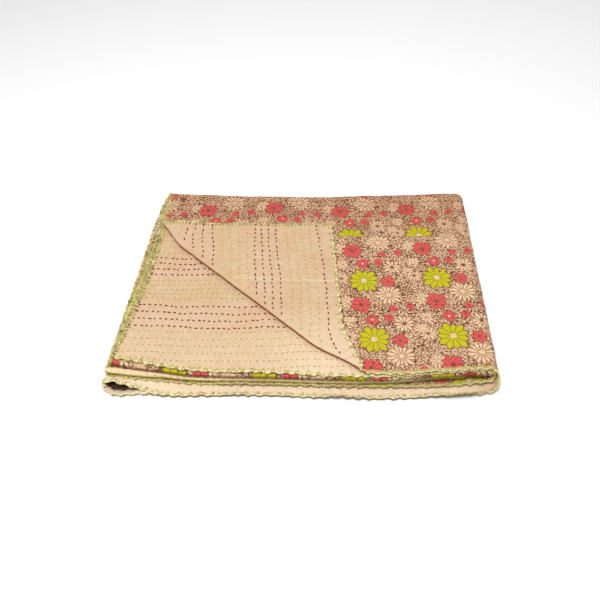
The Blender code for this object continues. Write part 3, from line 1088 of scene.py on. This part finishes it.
CLOTH_SHADER = {"Sheen Weight": 0.02, "Sheen Roughness": 0.5, "Specular IOR Level": 0.12}
THREAD_SHADER = {"Roughness": 0.75, "Sheen Weight": 0.03, "Specular IOR Level": 0.15}
WEAVE_PITCH = 0.0007
WEAVE_HEIGHT = 0.00003
GATHER_RATES = (210.0, 75.0, 1.0)
GATHER_HEIGHT = 0.0044
WRINKLE_RATE = 60.0
WRINKLE_HEIGHT = 0.0032
STROKE_RATE = 430.0

CREAM = srgb(213, 181, 145)
CREAM_PALE = srgb(216, 190, 158)
CREAM_DEEP = srgb(188, 152, 116)
CREAM_WARM = srgb(218, 172, 132)
# Painted light: a lighter cream, laid where more light falls and along highlights.
PAINTED_LIGHT_CREAM = srgb(244, 222, 190)
CREAM_PINK = srgb(226, 176, 150)
CREAM_YELLOW = srgb(216, 190, 140)
CREAM_ROSY = srgb(224, 182, 156)
CREAM_GREEN = srgb(212, 196, 138)
GROUND = srgb(128, 85, 61)
GROUND_DARK = srgb(106, 70, 50)
BACK_BROWN = srgb(142, 74, 46)
LIME = srgb(198, 186, 34)
OLIVE = srgb(142, 138, 34)
CORAL = srgb(206, 74, 74)
CORAL_PALE = srgb(228, 108, 104)
CORAL_DARK = srgb(156, 70, 62)
PRINT_CREAM = srgb(232, 196, 158)
PRINT_PINK = srgb(216, 172, 140)
# Painted highlight along the rims.
RIM_PAINTED_HIGHLIGHT = srgb(240, 220, 188)
# Painted light on the lower front fold.
FRONT_PAINTED_LIGHT = srgb(255, 228, 182)
HEM_TINT = srgb(206, 196, 122)
# Painted shade under the turned-back corner's round.
FOLD_PAINTED_SHADE = srgb(164, 76, 0)
# Painted shade inside the turned-under corner.
DEEP = srgb(34, 24, 16)
RIM_SHADE = srgb(88, 52, 16)


# Hems: how far in the rim is painted pale as a highlight, the distances from the edge between
# which the tint of the edge stitches grows, and its least and its largest share.
CREAM_HEM = (0.0042, 0.0085, 0.0045, 0.0, 0.50)
PRINT_HEM = (0.0026, 0.0080, 0.0050, 0.35, 0.90)
RIM_BLEND = 0.0014


def hemmed(tree, colour, rim, inner, outer, least, most):
    """Hem covered with the short ends of the edge stitches, its rim painted pale as a highlight.
    """
    from_edge = tree.stored("from_edge")
    share = tree.scaled(tree.strokes(0.44, 0.58), most - least, least)
    colour = tree.tint(colour, HEM_TINT, tree.step(from_edge, inner, outer), share)
    return tree.tint(colour, RIM_PAINTED_HIGHLIGHT, tree.step(from_edge, rim, rim - RIM_BLEND))


# Tones of the cream: a noise's rates along u and v, its shift and detail, the values between
# which the tone grows, its largest share, and its colour.
CREAM_TONES = (
    ((12.0, 12.0, 1.0), (15.6, 34.8, 0.0), 4.0, 0.38, 0.62, 1.00, CREAM_PALE),
    ((26.0, 26.0, 1.0), (80.6, 44.2, 0.0), 4.0, 0.46, 0.66, 0.55, CREAM_WARM),
    ((120.0, 60.0, 1.0), (0.0, 0.0, 0.0), 4.0, 0.45, 0.72, 0.45, CREAM_DEEP),
    ((420.0, 420.0, 1.0), (0.0, 0.0, 0.0), 2.0, 0.50, 0.70, 0.30, CREAM_DEEP),
    ((110.0, 110.0, 1.0), (583.0, 77.0, 0.0), 3.0, 0.54, 0.66, 0.42, CREAM_ROSY),
    ((110.0, 110.0, 1.0), (583.0, 77.0, 0.0), 3.0, 0.46, 0.34, 0.42, CREAM_GREEN),
)
# Shares of pink among the brown rows of stitches and of yellow among the green ones.
PINK_SHARE = 0.17
YELLOW_SHARE = 0.13
# Painted light on the cream: the u, then the v between which each grows, and its largest share.
LOWEST_PAINTED_LIGHT = ((0.02, 0.10), (0.12, 0.04), 0.85)
CORNER_RIGHT_U = (-0.40, -0.31)
CORNER_END_PAINTED_LIGHT = ((0.02, 0.0), (0.16, 0.05), 0.45)
UNDER_CORNER_V = (1.62, 1.76)
# The painted highlight along the crease: distances from it, v at its end, share.
CREASE_PAINTED_HIGHLIGHT = ((0.0030, 0.0008), (0.205, 0.190), 0.42)
# Values of fold_depth between which the painted brown shade under the turned-back corner's round
# grows.
FOLD_SHADE = (0.80, 0.54)


def cream_material():
    """Plain cream cotton, a little uneven in tone, with painted light, painted highlights and
    painted shade.
    """
    tree = ClothTree("cream_cotton_look", 0.88)
    colour = CREAM
    for rates, shift, detail, low, high, share, tone in CREAM_TONES:
        place = tree.vector("MULTIPLY_ADD", tree.uv, rates, shift)
        patches = tree.step(tree.noise(place, 1.0, detail), low, high)
        colour = tree.tint(colour, tone, patches, share)
    bled = tree.stored("brown_share")
    colour = tree.tint(colour, CREAM_PINK, bled, PINK_SHARE)
    colour = tree.tint(colour, CREAM_YELLOW, tree.scaled(bled, -YELLOW_SHARE, YELLOW_SHARE))
    # Painted light: the lowest layer's front, the front under the turned corner, and that corner's
    # end are painted lighter.
    right = tree.step(tree.u, *CORNER_RIGHT_U)
    for shares in (
        tree.patch(*LOWEST_PAINTED_LIGHT),
        (tree.step(tree.v, *UNDER_CORNER_V), tree.scaled(right, 0.34, 0.22)),
        (*tree.patch(*CORNER_END_PAINTED_LIGHT), right),
    ):
        colour = tree.tint(colour, PAINTED_LIGHT_CREAM, *shares)
    # Painted highlight: a light line along the crease.
    (start_u, start_v), (end_u, end_v) = CREASE
    slope = (end_u - start_u) / (end_v - start_v)
    off = tree.apart(tree.u, tree.scaled(tree.v, slope, start_u - slope * start_v))
    line, line_end, share = CREASE_PAINTED_HIGHLIGHT
    crease = (tree.step(off, *line), tree.step(tree.v, *line_end), share)
    colour = tree.tint(colour, PAINTED_LIGHT_CREAM, *crease)
    colour = hemmed(tree, colour, *CREAM_HEM)
    # Painted shade: brown in the crevice under the turned-back corner's round.
    colour = tree.tint(colour, FOLD_PAINTED_SHADE, tree.step(tree.stored("fold_depth"), *FOLD_SHADE))
    return tree.finish(colour)


# Print: one repeat, and its motifs' places from the middle of the lime flower.
REPEAT = 0.1405
MOTIFS = (
    # x, y, radius, petals, turn, kind
    (0.098, 0.008, 0.0150, 10, 0.15, "daisy_brown"),
    (0.104, -0.052, 0.0165, 11, 0.35, "daisy"),
    (0.103, 0.044, 0.0130, 9, 0.35, "daisy"),
    (-0.052, 0.020, 0.0120, 9, 0.60, "daisy"),
    (0.059, 0.032, 0.0190, 11, 0.05, "daisy_brown"),
    (0.042, -0.038, 0.0250, 14, 0.20, "daisy"),
    (0.077, 0.071, 0.0085, 6, 0.10, "coral_small"),
    (0.045, 0.068, 0.0080, 5, 0.40, "coral_small"),
    (0.034, 0.047, 0.0090, 6, 0.20, "coral_small"),
    (0.046, -0.004, 0.0138, 7, 0.25, "coral"),
    (0.003, 0.045, 0.0125, 7, 0.00, "coral_white"),
    (-0.013, 0.081, 0.0195, 10, 0.30, "coral"),
    (0.046, 0.019, 0.0110, 7, 0.15, "coral_strip"),
    (0.000, 0.000, 0.0290, 11, 0.10, "lime"),
)
# Each kind of flower: a petal's width against its share of the ring, then the colours of its
# petals (None is the uneven coral), of the lines between them, of its middle and of its core.
FLOWERS = {
    "lime": (0.76, LIME, OLIVE, PRINT_CREAM, LIME),
    "coral": (0.82, None, CORAL_DARK, GROUND, CORAL),
    "coral_white": (0.86, None, CORAL_DARK, PRINT_CREAM, CORAL),
    "coral_small": (0.90, None, CORAL_DARK, CORAL_DARK, CORAL),
    "coral_strip": (0.86, None, CORAL_DARK, CORAL_DARK, CORAL),
    "daisy": (0.57, PRINT_CREAM, GROUND, PRINT_CREAM, PRINT_CREAM),
    "daisy_brown": (0.52, PRINT_CREAM, GROUND, GROUND, GROUND_DARK),
}
PANELS = (
    # v at which the panel ends, u and v of a lime flower's middle on it, turn, stretch, drift
    (0.3360, -0.2085, 0.2115, 3.3, 1.0, 0.0),
    (0.7800, -0.2270, 0.3305, 3.3, 1.0, 0.021),
    (9.0000, -0.3960, 0.9420, 0.0, 1.08, 0.0),
)
# Where along the strip a panel's print drifts.
DRIFT_FROM = -0.265
DRIFT_TO = -0.365
# Stretches of v without lime flowers and without large coral ones.
NO_LIME = ((0.300, 0.336), (0.430, 0.520))
NO_CORAL = ((0.336, 0.352),)
# Scattered flowers: cell, radius, petals, petal width, least random value that shows, offset.
FILLERS = (
    (0.0100, 0.0068, 5, 0.31, 0.00, 7.7),
    (0.0155, 0.0100, 6, 0.31, 0.15, 3.3),
    (0.0215, 0.0128, 7, 0.33, 0.35, 0.0),
)
FILLER_BASE = 0.28
BACK_SHARE = 0.19
# Unevenness of the print's outlines: a noise's rate and how far it moves them.
PRINT_WOBBLES = ((70.0, 0.0034), (260.0, 0.0012))
SEAM_WIDTH = 0.0016
SEAM_DEPTH = 0.0010

# Parts of the print: u, v or a distance in metres between which each part begins.
ABOVE_U = (0.0, -0.02)
BELOW_U = (0.04, 0.08)
BACK_FROM_V = (0.33, 0.37)
BACK_TO_V = (0.60, 0.55)
INNER_QUARTER_V = (1.68, 1.72)
PALE_FRONT_WIDTH = (0.0095, 0.0070)
LEFT_END_U = (-0.604, -0.612)
LEFT_END_FROM_FRONT = (0.030, 0.040)
LIP_U = (0.690, 0.702)
LIP_WIDTH = (0.0100, 0.0070)
LOWEST_RIM_V = (0.07, 0.05)
LOWEST_RIM_WIDTH = (0.020, 0.014)
# Painted shade in dark bands at both front folds, above and below: v at which each begins and
# ends.
GAP_ABOVE = ((0.9620, 0.9606), (0.9530, 0.9520))
GAP_BELOW = ((0.9586, 0.9598), (0.9680, 0.9690))
GAP_SHARE = 0.62


# Masks of a flower: what measures each, and the values between which it grows.
FLOWER_MASKS = {
    "petal": ("oval", 1.10, 0.92),
    "around": ("oval", 1.60, 1.32),
    "line": ("between", 0.040, 0.016),
    "middle": ("reach", 0.21, 0.17),
    "core": ("reach", 0.38, 0.30),
}
# How much longer some petals are than others, and where they start, as a share of the radius.
PETAL_LONGER = 0.09
PETAL_BASE = 0.12


def petals(tree, place, radius, count, turn, width, base=PETAL_BASE):
    """Masks of one flower: petals, the edge around them, the lines between them and the middle."""
    x, y, _ = tree.parts(place)
    turns = tree.scaled(tree.math("ARCTAN2", y, x), count / (2 * math.pi), turn)
    which = tree.math("SINE", tree.times(tree.math("FLOOR", turns), 2.4))
    longer = tree.scaled(which, PETAL_LONGER, 1.0)
    reach = tree.math("DIVIDE", tree.vector("LENGTH", place), tree.times(longer, radius))
    off = tree.apart(tree.math("FRACT", turns), 0.5)
    arc = tree.times(reach, 2 * math.pi / count)
    between = tree.times(tree.math("SUBTRACT", 0.5, off), arc)
    lengthways = tree.math("DIVIDE", tree.math("SUBTRACT", reach, (1 + base) / 2), (1 - base) / 2)
    across = tree.math("DIVIDE", tree.times(off, arc), width * math.pi / count)
    oval = tree.math("ADD", tree.math("POWER", lengthways, 2.0), tree.math("POWER", across, 1.3))
    measures = {"oval": oval, "between": between, "reach": reach}
    return {
        mask: tree.step(measures[measure], low, high)
        for mask, (measure, low, high) in FLOWER_MASKS.items()
    }


def filler(tree, place, spec, base):
    """Small flowers scattered closely over the ground."""
    cell, radius, count, width, least, offset = spec
    scaled = tree.vector("MULTIPLY_ADD", place, (1.0 / cell,) * 3, (offset, offset, 0.0))
    inputs = {"Vector": scaled, "Scale": 1.0, "Randomness": 0.85}
    cells = tree.add("ShaderNodeTexVoronoi", inputs, voronoi_dimensions="2D").outputs
    turn, chance, tone = tree.parts(cells["Color"])
    local = tree.vector("SUBTRACT", scaled, cells["Position"])
    flower = petals(tree, local, radius / cell, count, turn, width, FILLER_BASE)
    shown = tree.math("GREATER_THAN", chance, least)
    colour = tree.tint(base, GROUND, flower["around"], shown)
    return tree.tint(colour, tree.tint(PRINT_CREAM, PRINT_PINK, tone), flower["petal"], shown)


def panel_place(tree):
    """The place in the print of a place on the cloth: each panel starts it somewhere else."""
    place = None
    for end, u0, v0, turn, stretch, drift in reversed(PANELS):
        moved = tree.vector("SUBTRACT", tree.uv, (u0, v0, 0.0))
        far = tree.times(tree.step(tree.u, DRIFT_FROM, DRIFT_TO), drift)
        drifted = tree.add("ShaderNodeCombineXYZ", {"Y": far}).outputs[0]
        moved = tree.vector("SUBTRACT", moved, drifted)
        inputs = {"Vector": moved, "Angle": -math.radians(turn)}
        node = tree.add("ShaderNodeVectorRotate", inputs, rotation_type="Z_AXIS")
        here = tree.vector("MULTIPLY", node.outputs["Vector"], (1.0 / stretch, 1.0, 1.0))
        if place is None:
            place = here
            continue
        node = tree.add("ShaderNodeMix", data_type="VECTOR")
        tree.feed(node.inputs["Factor"], tree.math("LESS_THAN", tree.v, end))
        tree.feed(node.inputs[4], place)
        tree.feed(node.inputs[5], here)
        place = node.outputs[1]
    return place


def outside(tree, value, stretches):
    """1 where a value is in none of the stretches, 0 inside them."""
    masks = []
    for low, high in stretches:
        off = tree.apart(value, (low + high) / 2)
        masks.append(tree.math("GREATER_THAN", off, (high - low) / 2))
    return tree.times(*masks)


def flower_print(tree):
    """The colours of the print: flowers close together on a brown ground, in panels."""
    place = panel_place(tree)
    for scale, amount in PRINT_WOBBLES:
        inputs = {"Vector": tree.uv, "Scale": scale, "Detail": 1.0}
        wobble = tree.add("ShaderNodeTexNoise", inputs).outputs["Color"]
        drift = tree.vector("SUBTRACT", wobble, (0.5, 0.5, 0.5))
        place = tree.vector("MULTIPLY_ADD", drift, (amount, amount, 0.0), place)
    shown = {
        "lime": outside(tree, tree.v, NO_LIME),
        "coral": outside(tree, tree.v, NO_CORAL),
        "coral_strip": tree.math("GREATER_THAN", tree.v, PANELS[1][0]),
    }
    colour = tree.tint(GROUND, GROUND_DARK, tree.step(tree.noise(tree.uv, 26.0, 2.0), 0.4, 0.62))
    for spec in FILLERS:
        colour = filler(tree, place, spec, colour)
    red = tree.tint(CORAL, CORAL_PALE, tree.step(tree.noise(tree.uv, 300.0, 2.0), 0.40, 0.66))
    for x, y, radius, count, turn, kind in MOTIFS:
        width, petal, line, centre, core = FLOWERS[kind]
        local = tree.vector("SUBTRACT", place, (x, y, 0.0))
        local = tree.vector("WRAP", local, (REPEAT / 2,) * 3, (-REPEAT / 2,) * 3)
        flower = petals(tree, local, radius, count, turn, width)
        share = shown.get(kind, 1.0)
        colour = tree.tint(colour, GROUND, flower["around"], share)
        colour = tree.tint(colour, core, flower["core"], share)
        colour = tree.tint(colour, petal or red, flower["petal"], share)
        colour = tree.tint(colour, line, flower["line"], flower["around"], share)
        colour = tree.tint(colour, centre, flower["middle"], share)
    return colour


def printed_material():
    """The print, with rims and folds painted pale as highlights or dark as shade, painted shade
    inside the turned-under corner, and seams between its panels.
    """
    tree = ClothTree("printed_cotton_look", 0.9)
    from_edge = tree.stored("from_edge")
    strokes = tree.strokes(0.42, 0.60)
    above = tree.step(tree.u, *ABOVE_U)
    below = tree.step(tree.u, *BELOW_U)
    from_front = tree.apart(tree.v, LOWER_FRONT_V)
    colour = flower_print(tree)
    # The print is browner towards the back of the top layer and over its back fold.
    back = (tree.step(tree.v, *BACK_FROM_V), tree.step(tree.v, *BACK_TO_V), BACK_SHARE)
    colour = tree.tint(colour, BACK_BROWN, *back)
    bare = hemmed(tree, colour, *PRINT_HEM)
    colour = tree.tint(bare, colour, below, tree.step(tree.v, *INNER_QUARTER_V), 0.45)
    # Painted light: the lower front fold is painted pale. Painted shade: both front folds are
    # painted dark where they meet the next layer.
    pale = (below, tree.step(from_front, *PALE_FRONT_WIDTH), tree.scaled(strokes, -0.30, 0.98))
    colour = tree.tint(colour, FRONT_PAINTED_LIGHT, *pale)
    for here, (start, end) in ((above, GAP_ABOVE), (below, GAP_BELOW)):
        band = tree.math("SUBTRACT", tree.step(tree.v, *start), tree.step(tree.v, *end))
        colour = tree.tint(colour, RIM_SHADE, band, here, GAP_SHARE)
    # The upper left edge, away from the front fold, is covered with thread.
    side = (tree.step(tree.u, *LEFT_END_U), tree.step(from_front, *LEFT_END_FROM_FRONT), 0.60)
    colour = tree.tint(colour, HEM_TINT, *side, tree.scaled(strokes, 0.6, 0.4))
    # Painted highlight: the turned-under corner's lip is painted pale. Painted shade: the rest of
    # the lowest rim is painted dark.
    lip = (tree.step(tree.u, *LIP_U), tree.step(from_edge, *LIP_WIDTH))
    colour = tree.tint(colour, RIM_PAINTED_HIGHLIGHT, *lip, tree.scaled(strokes, -0.35, 0.95))
    hanging = (below, tree.step(tree.v, *LOWEST_RIM_V), tree.step(from_edge, *LOWEST_RIM_WIDTH))
    colour = tree.tint(colour, RIM_SHADE, *hanging, tree.step(tree.u, *LIP_U[::-1]), 0.80)
    # Painted shade: dark inside the turned-under corner, behind its lip.
    colour = tree.tint(colour, DEEP, tree.stored("under_depth"), 0.93)
    dip = 0.0
    for end, *_ in PANELS[:-1]:
        seam = tree.step(tree.apart(tree.v, end), SEAM_WIDTH, 0.0)
        dip = tree.scaled(seam, -SEAM_DEPTH, dip)
    return tree.finish(colour, dip)


# Each thread's colour and its darker tone.
THREADS = {
    "brown_thread": (srgb(134, 60, 30), srgb(78, 36, 18)),
    "green_thread": (srgb(194, 180, 82), srgb(164, 150, 54)),
    "hem_thread": (srgb(210, 202, 120), srgb(164, 158, 70)),
    "side_thread": (srgb(206, 194, 118), srgb(118, 112, 44)),
}


def thread_material(name, colour, dark):
    """Dull cotton thread with a slight change of tone."""
    tree = Tree(name, THREAD_SHADER)
    place = tree.add("ShaderNodeTexCoord").outputs["Object"]
    tone = tree.step(tree.noise(place, 90.0, 2.0), 0.35, 0.7)
    tree.feed(tree.shader["Base Color"], tree.tint(colour, dark, tone))
    tree.bump(tree.noise(place, 1800.0, 1.0), 0.4, 0.0003)
    return tree.material


# ---------------------------------------------------------------------------- edge thread


# Runs of thread over the rims, lap after lap.
EDGE_RUNS = (
    # edge, lap, reach, start, radius
    ("outer", 0.0190, 0.0062, 0.0, 0.00078),
    ("inner", 0.0190, 0.0062, 0.0, 0.00085),
    ("outer", 0.0125, 0.0045, 0.4, 0.00074),
    ("inner", 0.0125, 0.0045, 0.4, 0.00080),
    ("lower_front", 0.0150, 0.0034, 0.2, 0.00075),
)
SIDE_RUNS = (
    # edge, lap, reach, start, radius
    ("upper_left", 0.0095, 0.0070, 0.0, 0.00062),
    ("lower_left", 0.0095, 0.0070, 0.0, 0.00062),
    ("upper_left", 0.0078, 0.0050, 0.4, 0.00058),
    ("lower_left", 0.0078, 0.0050, 0.4, 0.00058),
    ("upper_left", 0.0068, 0.0085, 0.7, 0.00055),
)
# Each edge: its ends in q and in c, and how many metres inwards make one of q or one of c.
EDGES = {
    "outer": ((0.0, 0.0), (0.0, 3.0), 0.44, None),
    "inner": ((7.0, 7.0), (0.0, 3.0), -0.44, None),
    "lower_front": ((3.42, 3.42), (2.04, 2.99), 0.0075, None),
    "upper_left": ((0.0, 7.0), (0.0, 0.0), None, 0.63),
    "lower_left": ((0.0, 7.0), (3.0, 3.0), None, -0.66),
}
EDGE_STEPS = 8
# How far in a lap reaches differs by the share LAP_UNEVEN, and where it lies by LAP_WANDER. Over
# LAP_ROUND the thread goes from beside the rim onto the cloth, where it lies LAP_ABOVE of its
# radius up.
LAP_UNEVEN = 0.30
LAP_WANDER = 0.0020
LAP_WANDER_LENGTH = 0.011
LAP_ROUND = 0.0025
LAP_ABOVE = 0.6


def edge_paths(edge, lap, reach, start, radius):
    """The path of the thread that goes over and over one edge."""
    q_ends, c_ends, q_length, c_length = EDGES[edge]
    knots = np.linspace(0.0, 1.0, 241)
    q_knots = along(*q_ends, knots)
    c_knots = along(*c_ends, knots)
    points = middle(q_knots, c_knots)
    gone = np.concatenate(((0.0,), np.cumsum(np.linalg.norm(np.diff(points, axis=0), axis=1))))
    laps = int(gone[-1] / lap)
    turns = np.linspace(0.0, laps, laps * EDGE_STEPS * 2 + 1) + start
    place = gone[-1] * (turns - start) / laps
    uneven = 1.0 + LAP_UNEVEN * noise(place / lap, 0.0, 21)
    beat = 2.0 * turns - np.floor(2.0 * turns)
    inward = reach * uneven * (1.0 - np.abs(2.0 * beat - 1.0))
    wander = LAP_WANDER * noise(place / LAP_WANDER_LENGTH, 5.0, 22)
    place = np.clip(place + wander, 0.0, gone[-1])
    q = np.interp(place, gone, q_knots)
    c = np.interp(place, gone, c_knots)
    side = np.where(np.floor(2.0 * turns) % 2 == 0, 1.0, -1.0)
    off = np.clip(inward / LAP_ROUND, 0.0, 1.0)
    if edge == "lower_front":
        side = np.ones_like(side)
        off = np.ones_like(off)
    if q_length:
        laid = Laid(q + inward / q_length, c)
        out, guide = -math.copysign(radius, q_length) * laid.across, laid.ahead
    else:
        laid = Laid(q, c + inward / c_length)
        out, guide = -math.copysign(radius, c_length) * laid.ahead, laid.across
    lift_off = (laid.height + LAP_ABOVE * radius) * np.sqrt(off)
    point = laid.point + laid.normal * (side * lift_off)[:, None] + out * (1.0 - off)[:, None]
    point[:, 2] = np.maximum(point[:, 2], FLOOR_GAP + radius)
    return point, guide


def edge_thread(runs):
    """Several runs of the edge thread as one list of tubes."""
    parts = []
    for edge, lap, reach, start, radius in runs:
        point, guide = edge_paths(edge, lap, reach, start, radius)
        parts.append(tubes(point[None], guide[None], radius, 5, False))
    return parts


# ---------------------------------------------------------------------------- stage


def lay_floor():
    """A plain pale floor."""
    mesh = bpy.data.meshes.new("floor")
    half = FLOOR_SIZE / 2
    corners = [(-half, -half, 0), (half, -half, 0), (half, half, 0), (-half, half, 0)]
    mesh.from_pydata(corners, [], [(0, 1, 2, 3)])
    tree = Tree("pale_floor", {"Base Color": (0.98, 0.98, 0.98, 1.0), "Roughness": 0.9})
    mesh.materials.append(tree.material)
    floor = bpy.data.objects.new("floor", mesh)
    bpy.context.collection.objects.link(floor)


def add_light(name, place, size, power):
    """A soft square light at a place, aimed at the origin."""
    data = bpy.data.lights.new(name, "AREA")
    data.size = size
    data.energy = power
    light = bpy.data.objects.new(name, data)
    light.location = place
    x, y, z = place
    tilt = math.acos(z / np.linalg.norm(place))
    light.rotation_euler = (tilt, 0.0, math.atan2(-y, -x) - math.pi / 2)
    bpy.context.collection.objects.link(light)


def light_stage():
    """Soft light from above and all round."""
    world = bpy.data.worlds.new("studio")
    world.use_nodes = True
    inputs = world.node_tree.nodes["Background"].inputs
    inputs["Color"].default_value = (1.0, 1.0, 1.0, 1.0)
    inputs["Strength"].default_value = WORLD_STRENGTH
    bpy.context.scene.world = world
    bpy.context.scene.view_settings.view_transform = "Standard"
    for light in LIGHTS:
        add_light(*light)


def add_camera():
    """The camera at the photograph's viewing angle."""
    data = bpy.data.cameras.new("camera")
    data.lens = CAMERA_LENS
    data.sensor_width = CAMERA_SENSOR
    camera = bpy.data.objects.new("camera", data)
    camera.location = CAMERA_PLACE
    camera.rotation_euler = (math.radians(90.0 - CAMERA_PITCH), 0.0, 0.0)
    bpy.context.collection.objects.link(camera)
    bpy.context.scene.camera = camera


def build():
    """Builds everything and says what each piece is."""
    lay_floor()
    light_stage()
    add_camera()
    strip = strip_mesh()
    printed = cloth("printed_cloth", strip, 1.0, printed_material())
    cream = cloth("cream_cloth", strip, -1.0, cream_material())
    stitches = running_stitches()
    pieces = []
    for name, tubes_made, material in (
        ("brown_stitches", stitches["brown"], "brown_thread"),
        ("green_stitches", stitches["green"], "green_thread"),
        ("edge_stitches", edge_thread(EDGE_RUNS), "hem_thread"),
        ("side_stitches", edge_thread(SIDE_RUNS), "side_thread"),
    ):
        look = thread_material(material, *THREADS[material])
        pieces.append(new_object(name, *joined(tubes_made), look))
    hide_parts("printed_top")
    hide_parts("cream_backing")
    for piece in [printed, cream] + pieces:
        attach(piece, "root")


build()
